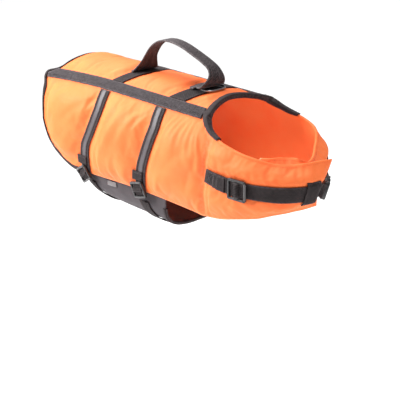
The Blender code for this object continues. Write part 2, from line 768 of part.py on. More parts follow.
def add_belly_strap(flank, strap, finish):
    """Webbing under the belly from one adjuster to the other."""
    rows = []
    for turn in spread(-STRAP_TURN, STRAP_TURN, 28):
        middle = lerp(strap.belly_low_x, strap.belly_hem_x, ramp(abs(turn) - 0.25, 0.7))
        rows.append([belly_point(flank, middle + step, turn, LIFT) for step in half_widths(2)])
    return add_strip(f"belly_strap_{strap.name}", rows, WEB_THICK, finish, flip=False)


def add_label(flank, finish):
    """A blank woven tag that hangs below the right hem."""
    turns = (-0.985, -0.968, -0.95, -0.93)
    rows = [[belly_point(flank, x, turn, LIFT) for x in spread(-34, -8, 3)] for turn in turns]
    return add_strip("blank_label", rows, LABEL_THICK, finish, flip=False)


# ---------------------------------------------------------------- hardware
def surface_frame(point, outward, along):
    """A matrix in metres with Z outward and Y along the strap."""
    z_axis = outward.normalized()
    x_axis = along.cross(z_axis).normalized()
    y_axis = z_axis.cross(x_axis)
    frame = Matrix((x_axis, y_axis, z_axis)).transposed().to_4x4()
    return Matrix.Translation(point * MM) @ frame


def add_box_spline(curve, center_y, width, length):
    """Add one closed rectangle with cut corners to a flat curve."""
    corner = min(width, length) * 0.14
    half_w, half_l = width / 2, length / 2
    outline = [
        (half_w - corner, half_l), (half_w, half_l - corner), (half_w, corner - half_l),
        (half_w - corner, -half_l), (corner - half_w, -half_l), (-half_w, corner - half_l),
        (-half_w, half_l - corner), (corner - half_w, half_l),
    ]
    spline = curve.splines.new("POLY")
    spline.points.add(len(outline) - 1)
    for point, (x, y) in zip(spline.points, outline):
        point.co = (x * MM, (y + center_y) * MM, 0.0, 1.0)
    spline.use_cyclic_u = True


def add_ladder_lock(name, frame, length, finish):
    """A plastic strap adjuster: three bars in a frame with two windows."""
    curve = bpy.data.curves.new(name, "CURVE")
    curve.dimensions = "2D"
    curve.fill_mode = "BOTH"
    curve.extrude = LOCK_THICK / 2 * MM
    window = (length - 3 * LOCK_BAR) / 2
    add_box_spline(curve, 0.0, LOCK_WIDTH, length)
    for place in (-1, 1):
        add_box_spline(curve, place * (window + LOCK_BAR) / 2, LOCK_WINDOW, window)
    item = add_part(name, curve, finish)
    item.matrix_world = frame
    return item


def add_hem_lock(flank, strap, finish):
    """The adjuster at the low end of one girth strap."""
    center_z = strap.low_z - HEM_LOCK_DROP
    run = strap_run(strap, center_z) - 4
    edge = flank.low_edge(run) + 2
    point = flank.base(run, max(center_z, edge))
    point.z = center_z
    along = Vector((strap.lock_lean, flank.side * 5.0, 28.0)).normalized()
    outward = flank.normal(run, edge)
    outward = (outward - along * outward.dot(along)).normalized()
    point += outward * (LIFT + WEB_THICK + LOCK_SEAT - 0.7 - 0.08 * strap.lock_lean)
    name = f"adjuster_{strap.name}_{SIDE_NAMES[flank.side]}"
    return add_ladder_lock(name, surface_frame(point, outward, along), HEM_LOCK_LENGTH, finish)


def add_strap_tail(flank, strap, finish):
    """The strap's free end, folded back over it above the adjuster."""
    lift = LIFT + WEB_THICK + 0.7
    rows = []
    for z in spread(strap.tail_z + TAIL_LENGTH, strap.tail_z, 3):
        middle = strap_run(strap, z) - TAIL_SHIFT
        rows.append([flank.outer(middle + step, z, lift) for step in half_widths(2)])
    name = f"strap_tail_{strap.name}_{SIDE_NAMES[flank.side]}"
    return add_strip(name, rows, WEB_THICK, finish, flank.side == LEFT)


STRAP_HEIGHTS = Curve([place.run for place in CHEST_STRAP], [place.z for place in CHEST_STRAP])


def float_strip(flank, start, end, count, lift, slant=0.0):
    """Rows of points for webbing along the chest float, its first end cut at a slant."""
    rows = []
    for run in spread(start, end, count):
        lean = slant * (end - run) / (end - start)
        row = []
        for step in half_widths(4):
            place = run + lean * step / WEB_WIDTH
            row.append(flank.outer(place, STRAP_HEIGHTS.at(place) + step, lift + FLOAT_LIFT))
        rows.append(row)
    return rows


def add_chest_tab(flank, finish):
    """Folded webbing sewn to the float, which holds the chest adjuster."""
    rows = float_strip(flank, *TAB_RUNS[flank.side], 8, LIFT, TAB_SLANT)
    return add_strip(f"chest_tab_{SIDE_NAMES[flank.side]}", rows, TAB_THICK, finish, flank.side == LEFT)


def add_chest_lock(flank, finish):
    """The adjuster between the tab and the chest strap."""
    run = CHEST_LOCK_RUN[flank.side]
    z = STRAP_HEIGHTS.at(run)
    point = flank.outer(run, z, LIFT + TAB_THICK + LOCK_SEAT)
    outward = flank.normal(run, z)
    along = flank.base(run + 5, z) - flank.base(run - 5, z)
    name = f"chest_adjuster_{SIDE_NAMES[flank.side]}"
    return add_ladder_lock(name, surface_frame(point, outward, along), LOCK_LENGTH, finish)


def buckle_frame():
    """Direction and outward direction of the chest buckle."""
    start, end = BUCKLE_ENDS
    along = (end - start).normalized()
    return along, Vector((along.y, -along.x, -BUCKLE_LEAN)).normalized()


def add_chest_strap(flank, finish):
    """Webbing from the chest adjuster to the buckle."""
    along, outward = buckle_frame()
    up = outward.cross(along)
    start = TAB_RUNS[flank.side][1] + SEAM_GAP
    if flank.side == RIGHT:
        rows = float_strip(flank, start, CHEST_STRAP_END, 20, LIFT)
        target = BUCKLE_ENDS[0] - along * 0.2
    else:
        rows = float_strip(flank, start, LEFT_STRAP_LEAVES, 10, LIFT)
        target = BUCKLE_ENDS[1] + along * 0.2
    target -= outward * WEB_THICK / 2
    last = rows[-1]
    end_row = [target + up * step for step in half_widths(4)]
    for share in (0.5, 1.0):
        rows.append([near.lerp(far, share) for near, far in zip(last, end_row)])
    name = f"chest_strap_{SIDE_NAMES[flank.side]}"
    return add_strip(name, rows, WEB_THICK, finish, flank.side == LEFT)


def add_keeper(flank, finish):
    """Webbing sewn across the chest strap, holding it on the float."""
    over = LIFT + FLOAT_LIFT + WEB_THICK + 0.8
    profile = [(17.5, LIFT)] + [(step, over) for step in (13.8, 7, 0, -7, -13.8)] + [(-19, LIFT)]
    rows = []
    for run in spread(*KEEPER_RUNS, 3):
        middle = STRAP_HEIGHTS.at(run)
        rows.append([
            flank.outer(run + step * KEEPER_LEAN, middle + step, lift) for step, lift in profile])
    return add_strip("keeper", rows, WEB_THICK, finish, flip=True)


def add_block(name, frame, size, edge, finish):
    """A box with rounded edges."""
    mesh = bpy.data.meshes.new(name)
    box = bmesh.new()
    bmesh.ops.create_cube(box, size=1.0)
    bmesh.ops.scale(box, vec=Vector(size) * MM, verts=box.verts)
    box.to_mesh(mesh)
    box.free()
    item = add_part(name, mesh, finish)
    item.matrix_world = frame
    bevel = item.modifiers.new("edges", "BEVEL")
    bevel.width = edge * MM
    bevel.segments = 2
    return item


def add_buckle(finish):
    """The fastened side-release buckle at the chest: socket and plug."""
    along, outward = buckle_frame()
    length = (BUCKLE_ENDS[1] - BUCKLE_ENDS[0]).length
    parts = (("buckle_socket", 0.0, SOCKET_SHARE, 1.0), ("buckle_plug", SOCKET_SHARE, 1.0, PLUG_SHRINK))
    for name, start, end, shrink in parts:
        span = (end - start) * length - SEAM_GAP
        point = BUCKLE_ENDS[0] + along * length * (start + end) / 2
        size = (BUCKLE_HEIGHT * shrink, span, BUCKLE_THICK * shrink)
        add_block(name, surface_frame(point, outward, along), size, 2.0, finish)


# ---------------------------------------------------------------- handle and lead ring
def add_handle(finish):
    """The webbing grab handle along the spine."""
    rows = []
    for place in HANDLE_PLACES:
        row = []
        for share in spread(0, 1, 4):
            y = lerp(place.right, place.left, share)
            drop = HANDLE_CROWN * (y / BACK_HALF) ** 2
            row.append(Vector((place.x + place.skew * (share - 0.5), y, place.z - drop)))
        rows.append(row)
    return add_strip("grab_handle", rows, HANDLE_THICK, finish, flip=False)


def add_lead_ring(finish):
    """The metal ring under the handle's front foot."""
    curve = bpy.data.curves.new("lead_ring", "CURVE")
    curve.dimensions = "3D"
    curve.bevel_depth = RING_WIRE / 2 * MM
    curve.bevel_resolution = 2
    route = [(RING_BAR_X, -RING_HALF), (RING_BAR_X, RING_HALF)]
    for angle in spread(0.0, math.pi, 12):
        x = lerp(RING_BAR_X + 3, RING_BOW_X, math.sin(angle) ** 0.5)
        route.append((x, math.copysign(RING_HALF * abs(math.cos(angle)) ** 0.6, math.cos(angle))))
    spline = curve.splines.new("POLY")
    spline.points.add(len(route) - 1)
    for point, (x, y) in zip(spline.points, route):
        point.co = (x * MM, y * MM, RING_Z * MM, 1.0)
    spline.use_cyclic_u = True
    return add_part("lead_ring", curve, finish)


# ---------------------------------------------------------------- edge tape
TapePlace = namedtuple("TapePlace", "point normal reach gap")
JACKET_MIDDLE = Vector((0.0, 0.0, -60.0))


def tape_ring(place, outward, depth):
    """A section of tape folded over an edge."""
    gap, low = place.gap, -depth - place.gap
    top, bottom = gap + TAPE_THICK, low - TAPE_THICK
    reach, inside = place.reach, min(place.reach, INSIDE_REACH)
    corners = (
        (top, -reach), (top, top), (bottom, top), (bottom, -inside),
        (low, -inside), (low, gap), (gap, gap), (gap, -reach),
    )
    return [place.point + place.normal * up + outward * out for up, out in corners]


def add_tape(name, places, depth, finish, flip=False):
    """Tape folded over the edge that runs through the places."""
    rings = []
    for i, place in enumerate(places):
        along = places[min(i + 1, len(places) - 1)].point - places[max(i - 1, 0)].point
        outward = along.cross(place.normal).normalized()
        if outward.dot(JACKET_MIDDLE - place.point) > 0:
            outward.negate()
        rings.append(tape_ring(place, outward, depth))
    return add_loft(name, rings, finish, flip)


def reach_curve(rows):
    """A curve of the tape's reach along an edge."""
    return Curve([row.place for row in rows], [row.reach for row in rows])


def corner_gap(distance):
    """The tape's gap, wider beside the turn over the seam."""
    return lerp(CORNER_TAPE_GAP, TAPE_GAP, ramp(distance - 4, 14))


def back_edge_places(flank, edge_x, reach_at):
    """Places along the back panel's front or rear edge, from right to left."""
    places = []
    for share in spread(-0.96, 0.96, 16):
        x = edge_x(share)
        y = share * seam_half(flank, x)
        point = back_point(flank, x, y, puffed=False)
        normal = back_point(flank, x, y, 1.0, puffed=False) - point
        gap = corner_gap((1 - abs(share)) * BACK_HALF)
        places.append(TapePlace(point, normal, reach_at(abs(share)), gap))
    return places


def add_neck_binding(flanks, finish):
    """One tape over the neck edge, from one side panel across the back panel to the other."""
    reach = reach_curve(NECK_SIDE_REACH)
    ends = []
    for flank in flanks:
        places = []
        for run in spread(NECK_TAPE_END, NECK_SIDE_X + 2, 8):
            top = flank.value("top_z", run)
            gap = corner_gap(run - NECK_SIDE_X)
            places.append(TapePlace(flank.base(run, top), flank.normal(run, top), reach.at(run), gap))
        ends.append(places)
    middle = back_edge_places(flanks[0], neck_x, reach_curve(NECK_BACK_REACH).at)
    return add_tape("neck_binding", ends[0] + middle + ends[1][::-1], FOAM_EDGE, finish)


def add_rear_binding(flanks, finish):
    """One tape over the rear edge: up one side, across the back and down the other to the hem."""
    reach = reach_curve(REAR_SIDE_REACH)
    ends = []
    top = SIDE_SECTIONS[0].top_z
    for flank in flanks:
        edge = [side_columns(flank, share)[0] for share in SIDE_SHARES[2:]]
        edge += [place for place in side_columns(flank, 1.0)[1:] if place[0] < REAR_CORNER[-1].x + 6]
        places = []
        for run, z in edge:
            point, normal = flank.base(run, z), flank.normal(run, z)
            places.append(TapePlace(point, normal, reach.at(z), corner_gap(top - z)))
        ends.append(places)
    middle = back_edge_places(flanks[0], back_rear_x, lambda share: REAR_BACK_REACH)
    right, left = ends
    return add_tape("rear_binding", left[::-1] + middle[::-1] + right, FOAM_EDGE, finish)


def add_flap_bindings(flank, finish):
    """Tape over the belly flap's front and rear edges."""
    for name, (hem_x, low_x) in (("rear", BELLY_REAR), ("front", BELLY_FRONT)):
        places = []
        for turn in BELLY_TURNS[1:-1]:
            x = lerp(low_x, hem_x, turn * turn)
            point = belly_point(flank, x, turn)
            normal = belly_point(flank, x, turn, 1.0) - point
            places.append(TapePlace(point, normal, FLAP_TAPE_REACH, FLAP_TAPE_GAPS[name]))
        add_tape(f"flap_binding_{name}", places, BELLY_THICK, finish, name == "front")


# ---------------------------------------------------------------- start
def start_scene():
    """Remove whatever the scene starts with and add the jacket's collection."""
    for item in list(bpy.data.objects):
        bpy.data.objects.remove(item, do_unlink=True)
    bpy.context.scene.collection.children.link(bpy.data.collections.new(JACKET))


def main():
    """Build every piece of the jacket."""
    start_scene()
    finishes = {name: make_material(name) for name in FINISHES}
    right, left = Flank(RIGHT, CHEST_SECTIONS_RIGHT), Flank(LEFT, CHEST_SECTIONS_LEFT)
    add_back_panel(right, finishes["shell_cloth"])
    add_belly_flap(right, finishes["belly_cloth"])
    add_label(right, finishes["label_cloth"])
    add_neck_binding((right, left), finishes["edge_tape"])
    add_rear_binding((right, left), finishes["edge_tape"])
    add_flap_bindings(right, finishes["edge_tape"])
    for strap in STRAPS:
        add_cross_strap(right, strap, finishes["webbing"])
        add_belly_strap(right, strap, finishes["webbing"])
    for flank in (right, left):
        add_side_panel(flank, finishes["shell_cloth"])
        add_chest_float(flank, finishes["shell_cloth"])
        add_spine_webbing(flank, finishes["webbing"])
        add_chest_tab(flank, finishes["webbing"])
        add_chest_lock(flank, finishes["plastic"])
        add_chest_strap(flank, finishes["webbing"])
        for strap in STRAPS:
            add_girth_strap(flank, strap, finishes["webbing"])
            add_strap_tail(flank, strap, finishes["webbing"])
            add_hem_lock(flank, strap, finishes["plastic"])
    add_keeper(right, finishes["webbing"])
    add_buckle(finishes["plastic"])
    add_handle(finishes["webbing"])
    add_lead_ring(finishes["ring_metal"])


main()
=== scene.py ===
"""Dog life jacket: its cloth, webbing and fastenings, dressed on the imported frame.

The builders work in millimetres, with +X to the dog's head, +Y to its left and +Z up, and a
mesh becomes metres when it is made. A place on a flank is a run, the distance along the side
seen from above, and a height z. On the back, a share runs from -1 at the right seam to 1.
"""

import logging
import math
from collections.abc import Sequence
from dataclasses import astuple, dataclass, field
from enum import Enum
from functools import partial

import bpy
import numpy as np
from mathutils import Euler, Matrix, Vector


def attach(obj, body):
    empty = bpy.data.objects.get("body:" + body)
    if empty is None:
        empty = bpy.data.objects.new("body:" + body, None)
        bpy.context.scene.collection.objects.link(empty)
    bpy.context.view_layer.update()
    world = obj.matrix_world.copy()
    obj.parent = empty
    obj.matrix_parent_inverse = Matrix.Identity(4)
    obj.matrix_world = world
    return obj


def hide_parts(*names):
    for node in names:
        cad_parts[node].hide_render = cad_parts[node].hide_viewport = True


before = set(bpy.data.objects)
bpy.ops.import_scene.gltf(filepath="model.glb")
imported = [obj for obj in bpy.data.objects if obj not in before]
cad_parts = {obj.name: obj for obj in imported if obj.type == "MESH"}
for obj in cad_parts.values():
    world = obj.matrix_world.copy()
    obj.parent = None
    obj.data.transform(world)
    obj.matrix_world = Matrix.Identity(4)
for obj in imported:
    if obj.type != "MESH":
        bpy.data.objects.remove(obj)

log = logging.getLogger("life_jacket")

Array = np.ndarray
Number = float | np.ndarray
Object = bpy.types.Object
Material = bpy.types.Material
Faces = list[tuple[int, ...]]
Spot = tuple[float, float, float]
Pair = tuple[float, float]
Outline = list[tuple[float, ...]]
MM = 0.001
JACKET_MIDDLE = np.array([0.0, 0.0, -60.0])


# ---- small maths
def between(start: Number, end: Number, share: Number) -> Number:
    """The value a share of the way from start to end."""
    return start + (end - start) * share


def ramp(distance: Number, width: float) -> Number:
    """Rise smoothly from 0 to 1 over a width."""
    share = np.clip(np.asarray(distance, float) / width, 0.0, 1.0)
    return share * share * (3 - 2 * share)


def bump(distance: Number, width: float) -> Number:
    """A soft hump, 1 where the distance is 0."""
    return np.exp(-np.square(np.asarray(distance, float) / width))


def unit(vectors: Array) -> Array:
    """The same directions with a length of one."""
    return vectors / np.maximum(np.linalg.norm(vectors, axis=-1, keepdims=True), 1e-9)


def level(*parts: Number) -> tuple[Array, ...]:
    """Numbers and arrays, spread to one shape."""
    return np.broadcast_arrays(*(np.asarray(part, float) for part in parts))


def stack(*parts: Number) -> Array:
    """Points from their x, y and z."""
    return np.stack(level(*parts), axis=-1)


def summed(steps: Array) -> Array:
    """Running distances from 0, one more than there are steps."""
    return np.concatenate([[0.0], np.cumsum(steps)])


def steps_along(points: Array, axis: int) -> Array:
    """The distance from each point of a grid or line to the next along an axis."""
    return np.linalg.norm(np.diff(points, axis=axis), axis=-1)


def travelled(points: Array) -> Array:
    """The distance along a line of points at each of them."""
    return summed(steps_along(points, 0))


def ripple(along: Array, pitch: float, phase: float = 0.0) -> Array:
    """Uneven waves from -1 to 1, about one pitch apart and different for each phase."""
    turn = 2 * math.pi * along / pitch + phase
    slow = np.sin(turn + 1.7 * np.sin(turn * 0.23 + phase))
    return 0.6 * slow + 0.4 * np.sin(turn * 1.63 + 2.1 * np.sin(turn * 0.17 + 2 * phase))


def smooth_through(points: Array, count: int) -> Array:
    """Even places on a smooth curve through points.

    Args:
        points: Places to pass, an array with one row each.
        count: How many places to return.

    Returns:
        The places, first and last included.
    """
    padded = np.concatenate([2 * points[:1] - points[1:2], points, 2 * points[-1:] - points[-2:-1]])
    place = np.linspace(0, len(points) - 1, count)
    step = np.minimum(place.astype(int), len(points) - 2)
    share = (place - step).reshape((-1,) + (1,) * (points.ndim - 1))
    before, start, end, after = (padded[step + i] for i in range(4))
    bend = 2 * before - 5 * start + 4 * end - after
    twist = 3 * start - before - 3 * end + after
    return start + 0.5 * share * (end - before + share * (bend + share * twist))


class Curve:
    """A smooth curve through rows of numbers, with no overshoot between them."""

    def __init__(self, keys: Sequence[float], values: Sequence[float]) -> None:
        """Work out the slopes at rising keys from the value at each."""
        self.keys = np.asarray(keys, float)
        self.values = np.asarray(values, float)
        slopes = np.diff(self.values) / np.diff(self.keys)
        before, after = slopes[:-1], slopes[1:]
        same = before * after > 0
        total = np.where(same, before + after, 1.0)
        inner = np.where(same, 2 * before * after / total, 0.0)
        self.tangents = np.concatenate([slopes[:1], inner, slopes[-1:]])

    def at(self, key: Number) -> Array:
        """The value at a key; past an end it runs on straight."""
        key = np.asarray(key, float)
        i = np.clip(np.searchsorted(self.keys, key, side="right") - 1, 0, len(self.keys) - 2)
        step = self.keys[i + 1] - self.keys[i]
        place = (key - self.keys[i]) / step
        share = np.clip(place, 0.0, 1.0)
        rise = share * share * (3 - 2 * share)
        value = between(self.values[i], self.values[i + 1], rise)
        value = value + step * share * (1 - share) ** 2 * self.tangents[i]
        value = value - step * share * share * (1 - share) * self.tangents[i + 1]
        value = value + step * np.minimum(place, 0.0) * self.tangents[i]
        return value + step * np.maximum(place - 1, 0.0) * self.tangents[i + 1]


# ---- meshes
def linked(name: str, data: bpy.types.ID) -> Object:
    """A new object at the origin, in the scene."""
    item = bpy.data.objects.new(name, data)
    bpy.context.scene.collection.objects.link(item)
    return item


def mesh_object(
    name: str, points: Array, faces: Faces, uv: Array | None = None, rubbed_and_lit: Array | None = None,
) -> Object:
    """Make a smooth-shaded mesh object at the origin.

    Args:
        name: Name of the piece.
        points: Corners in millimetres.
        faces: Corner numbers of each face.
        uv: Cloth coordinates of each corner in metres.
        rubbed_and_lit: How much each corner has been scuffed, from 0 to 1; on moulded bars it also sets a painted
            highlight.

    Returns:
        The new object.
    """
    mesh = bpy.data.meshes.new(name)
    mesh.from_pydata((np.asarray(points) * MM).tolist(), [], faces)
    mesh.update()
    if uv is not None:
        corners = np.empty(len(mesh.loops), np.int32)
        mesh.loops.foreach_get("vertex_index", corners)
        layer = mesh.uv_layers.new(name="cloth")
        layer.data.foreach_set("uv", np.asarray(uv, np.float32)[corners].ravel())
    if rubbed_and_lit is not None:
        layer = mesh.attributes.new("rubbed_and_lit", "FLOAT", "POINT")
        layer.data.foreach_set("value", np.asarray(rubbed_and_lit, np.float32))
    mesh.shade_smooth()
    return linked(name, mesh)


def baked(item: Object) -> Object:
    """Turn an object with modifiers or curves into a plain mesh object at the origin.

    Args:
        item: The object, which is deleted.

    Returns:
        The plain mesh object with the same name.
    """
    name, place = item.name, item.matrix_world.copy()
    graph = bpy.context.evaluated_depsgraph_get()
    mesh = bpy.data.meshes.new_from_object(item.evaluated_get(graph), depsgraph=graph)
    mesh.transform(place)
    bpy.data.objects.remove(item, do_unlink=True)
    mesh.name = name
    return linked(name, mesh)


def corner_places(item: Object) -> Array:
    """Where a mesh object's corners are, in metres."""
    places = np.empty((len(item.data.vertices), 3), np.float64)
    item.data.vertices.foreach_get("co", places.ravel())
    return places


def merged(items: list[Object]) -> Object:
    """Join plain mesh objects into the first one."""
    chosen = {"selected_editable_objects": items, "selected_objects": items}
    with bpy.context.temp_override(active_object=items[0], object=items[0], **chosen):
        bpy.ops.object.join()
    return items[0]


def turned(quads: Array, flip: bool) -> Faces:
    """Faces from rows of corner numbers, turned the other way if asked."""
    return [tuple(quad) for quad in (quads[:, ::-1] if flip else quads).tolist()]


def grid_faces(rows: int, columns: int, flip: bool, start: int = 0) -> Faces:
    """Quads of a grid of points.

    Args:
        rows: Rows of points.
        columns: Points in a row.
        flip: Whether the faces turn the other way.
        start: Number of the first point.

    Returns:
        Corner numbers of each quad.
    """
    a = start + (np.arange(rows - 1)[:, None] * columns + np.arange(columns - 1)).ravel()
    return turned(np.stack([a, a + columns, a + columns + 1, a + 1], axis=1), flip)


def loft(
    name: str, rings: Array, uv: Array | None = None, flip: bool = False, rubbed_and_lit: Array | None = None,
) -> Object:
    """Join closed rings of points into a solid with flat ends.

    Args:
        name: Name of the piece.
        rings: Rings by points by 3, in millimetres.
        uv: Cloth coordinates, rings by points by 2.
        flip: Whether the faces turn the other way.
        rubbed_and_lit: Scuffing and painted highlight, rings by points.

    Returns:
        The new object.
    """
    count, size = rings.shape[:2]
    i, j = np.meshgrid(np.arange(count - 1), np.arange(size), indexing="ij")
    k = (j + 1) % size
    quads = np.stack([i * size + j, i * size + k, (i + 1) * size + k, (i + 1) * size + j], axis=-1)
    first = np.arange(size)[None, :]
    faces = turned(quads.reshape(-1, 4), flip) + turned(first, not flip)
    faces += turned(first + (count - 1) * size, flip)
    flat_uv = None if uv is None else uv.reshape(-1, 2)
    item = mesh_object(name, rings.reshape(-1, 3), faces, flat_uv, None if rubbed_and_lit is None else rubbed_and_lit.ravel())
    for cap in item.data.polygons[-2:]:
        cap.use_smooth = False
    return item


def dress(item: Object, material: Material, slot: str, *nodes: str) -> Object:
    """Put a finished piece on the jacket's one body, in place of its nodes.

    Args:
        item: The finished piece.
        material: Its material.
        slot: Name of the material slot; not used.
        *nodes: The nodes that it stands for.

    Returns:
        The piece.
    """
    item.data.materials.clear()
    item.data.materials.append(material)
    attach(item, "root")
    if nodes:
        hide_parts(*nodes)
    log.info("%s: %d faces", item.name, len(item.data.polygons))
    return item


@dataclass
class Path:
    """A line on the surface of a piece: its points and the direction out of the cloth."""

    points: Array
    outward: Array

    def part(self, start: int, end: int | None) -> "Path":
        """The stretch between two of its points."""
        return Path(self.points[start:end], self.outward[start:end])

    def to(self, other: "Path", share: Array) -> "Path":
        """The line that crosses from this one to another, by a share for each point."""
        return Path(between(self.points, other.points, share), between(self.outward, other.outward, share))


@dataclass
class Band:
    """A length of flat webbing or tape."""

    under: Array
    away_from: Spot  # a point on the side that the underside faces
    thickness: float
    rounding: float = 0.38  # how far its faces draw in at the edges, in thicknesses

    def __post_init__(self) -> None:
        """Work out the outward direction everywhere and the distances along and across."""
        self.outward = unit(np.cross(np.gradient(self.under, axis=0), np.gradient(self.under, axis=1)))
        middle = self.under.mean(axis=(0, 1)) - np.array(self.away_from)
        self.flip = bool(np.dot(self.outward.mean(axis=(0, 1)), middle) < 0)
        if self.flip:
            self.outward = -self.outward
        self.along = summed(steps_along(self.under, 0).mean(axis=1))
        self.across = summed(steps_along(self.under, 1).mean(axis=0))

    def laid(self, node: str, material: Material, slot: str = "webbing") -> Object:
        """Build the band in place of a node and dress it."""
        return dress(self.build(node + "_band"), material, slot, node)

    def moved(self, rise: Array) -> "Band":
        """The same band with its points moved out by a height each."""
        return Band(self.under + self.outward * rise[..., None], self.away_from, self.thickness, self.rounding)

    def build(self, name: str) -> Object:
        """Make the band's mesh, with rounded edges that wear first."""
        inset = self.thickness * self.rounding
        low = self.under.copy()
        for edge, inside in ((0, 1), (-1, -2)):
            low[:, edge] += unit(self.under[:, inside] - self.under[:, edge]) * inset
        high = low + self.outward * self.thickness
        half = self.under + self.outward * self.thickness / 2
        flat = stack(self.across[None, :], self.along[:, None]) * MM
        to_edge = np.minimum(self.across, self.across[-1] - self.across)[None, :]
        to_end = np.minimum(self.along, self.along[-1] - self.along)[:, None]
        rub = np.maximum(np.exp(-to_edge / 1.8), 0.8 * np.exp(-to_end / 2.5))
        rings, uv, rubbed_and_lit = (
            np.concatenate([side[:, :1], near, side[:, -1:], far[:, ::-1]], axis=1)
            for side, near, far in ((half, low, high), (flat, flat, flat), (rub, 0.4 * rub, rub)))
        return loft(name, rings, uv, self.flip, rubbed_and_lit)

    def line(self, inset: float, last: bool = False) -> Path:
        """A line along the outer face, an inset in from its first or last edge."""
        want = self.across[-1] - inset if last else inset
        column = int(np.clip(np.searchsorted(self.across, want) - 1, 0, len(self.across) - 2))
        share = (want - self.across[column]) / (self.across[column + 1] - self.across[column])
        pair = slice(column, column + 2)
        return self._between(self.under[:, pair], self.outward[:, pair], share)

    def cross_line(self, inset: float, last: bool = False) -> Path:
        """A line across the outer face, an inset in from its first or last end."""
        want = self.along[-1] - inset if last else inset
        row = int(np.clip(np.searchsorted(self.along, want) - 1, 0, len(self.along) - 2))
        share = (want - self.along[row]) / (self.along[row + 1] - self.along[row])
        under, outward = (grid[row:row + 2].transpose(1, 0, 2) for grid in (self.under, self.outward))
        line = self._between(under, outward, share)
        ends = between(line.points[[0, -1]], line.points[[-1, 0]], 0.1)
        return Path(np.concatenate([ends[:1], line.points[1:-1], ends[1:]]), line.outward)

    def _between(self, under: Array, outward: Array, share: float) -> Path:
        """The outer face's line a share of the way between two neighbouring lines."""
        lifted = unit(between(outward[:, 0], outward[:, 1], share))
        return Path(between(under[:, 0], under[:, 1], share) + lifted * self.thickness, lifted)


# ---- the worn form
class Hand(Enum):
    """Side of the dog, as the sign of Y."""

    RIGHT = -1
    LEFT = 1

    @property
    def word(self) -> str:
        """The side's name in a node."""
        return self.name.lower()


@dataclass(frozen=True)
class Section:
    """An upright section of a flank: how far its top and low edges lean in, and its flare."""

    x: float
    out: float
    top_in: float
    top_z: float
    mid_z: float
    low_in: float
    low_z: float
    flare: float = 0.0


# Columns: x, out, top_in, top_z, mid_z, low_in, low_z, flare.
SIDE_SECTIONS = [Section(*row) for row in (
    (-212, 99, 14, -17, -98, 10, -184), (-129, 103, 24, -12, -100, 11, -186),
    (-48, 105, 30, -10, -104, 9, -180), (40, 106, 31, -10, -106, 7, -174),
    (130, 106, 31, -10, -106, 6, -172), (208, 103.8, 29, -10, -106, 4, -173),
    (225, 102.5, 16, -20, -104, 3, -174), (242, 101.5, 7, -28.5, -102, 2, -172),
)]
CHEST_SECTIONS = {
    Hand.RIGHT: [Section(*row) for row in (
        (270, 102, 1, -36, -100, 0, -166), (303, 101, 2, -43, -98, 4, -158),
        (336, 96, 7, -48, -96, 10, -151, 0.05), (367, 84, 16, -54, -95, 16, -142, 0.15),
        (388, 64, 18, -55, -94, 16, -137, 0.22), (398, 43, 12, -53, -94, 11, -133, 0.27),
        (402, 21, 6, -52, -94, 10, -132, 0.27), (399, -2, -4, -54, -94, 6, -132, 0.27),
        (395, -17, -7, -57, -94, 4, -132, 0.27),
    )],
    Hand.LEFT: [Section(*row) for row in (
        (269, 100, 1, -36, -100, 0, -166), (296, 96, 3, -42, -98, 4, -158),
        (316, 87, 7, -48, -96, 8, -151, 0.1), (331, 72, 10, -53, -95, 10, -145, 0.15),
        (343, 55, 10, -57, -94, 10, -140, 0.2), (354, 37, 8, -60, -94, 10, -136, 0.25),
        (365, 18, 6, -61, -94, 10, -132, 0.27), (375, -1, 5, -60, -94, 10, -129, 0.27),
        (383, -19, 5, -57, -94, 11, -128, 0.22), (385.5, -38.5, 14, -49.5, -94, 12, -128, 0.16),
        (377, -57.5, 24, -50, -94, 16, -131, 0.08), (362, -74, 21, -48.5, -95, 16, -136, 0.04),
        (346, -82, 12, -49, -96, 12, -142), (331, -86.5, 9, -50, -96, 11, -146),
    )],
}

# The rear lower corner of each flank is cut round: x and the height of the cut.
CORNER_END_X = -100.0
REAR_CORNER = Curve(
    [-212, -208, -197, -182, -164, -129, CORNER_END_X], [-104, -118, -142, -158, -171, -184.5, -184.5])


STRAP_HEIGHTS = (-180, -150, -125, -95, -70, -45, -10)


@dataclass(frozen=True)
class Strap:
    """A strap over the back and down both flanks."""

    name: str
    back_mid_x: float
    back_side_x: float
    back_width: float
    low_z: float
    lock_lean: float
    tail_z: float
    belly_hem_x: float
    belly_low_x: float
    stripe_low_z: float
    runs: tuple[float, ...]

    def run(self, z: Number) -> Array:
        """Run of its middle at a height on the flank."""
        return Curve(STRAP_HEIGHTS, self.runs).at(z)

    def cross_x(self, share: Number) -> Number:
        """Its middle on the back, a share of the way from the spine to the seam."""
        return between(self.back_mid_x, self.back_side_x, np.abs(share) ** 1.5)


STRAPS = (
    Strap("rear", -24, -38, 27, -176, -18, -162, -86, -52, -152, (-87, -83, -78, -62, -50, -43, -42)),
    Strap("front", 134, 116, 38, -162, -8, -150, 68, 94, -139, (72, 75, 80, 91, 100, 106, 105)),
)


@dataclass(frozen=True)
class Fold:
    """A soft fold: its middle, half-lengths, lean from level and depth, a ridge below zero."""

    run: float
    z: float
    along: float
    across: float
    tilt: float
    depth: float

    def depth_at(self, run: Array, z: Array) -> Array:
        """How far it sinks the cloth at a place; it bows a little, and one bank is steeper."""
        tilt = math.radians(self.tilt)
        along = ((run - self.run) * math.cos(tilt) + (z - self.z) * math.sin(tilt)) / self.along
        across = ((z - self.z) * math.cos(tilt) - (run - self.run) * math.sin(tilt)) / self.across
        across = across + 0.35 * along * along
        return self.depth * np.exp(-along * along - across * across) * (1 + 0.5 * np.clip(across, -1.5, 1.5))


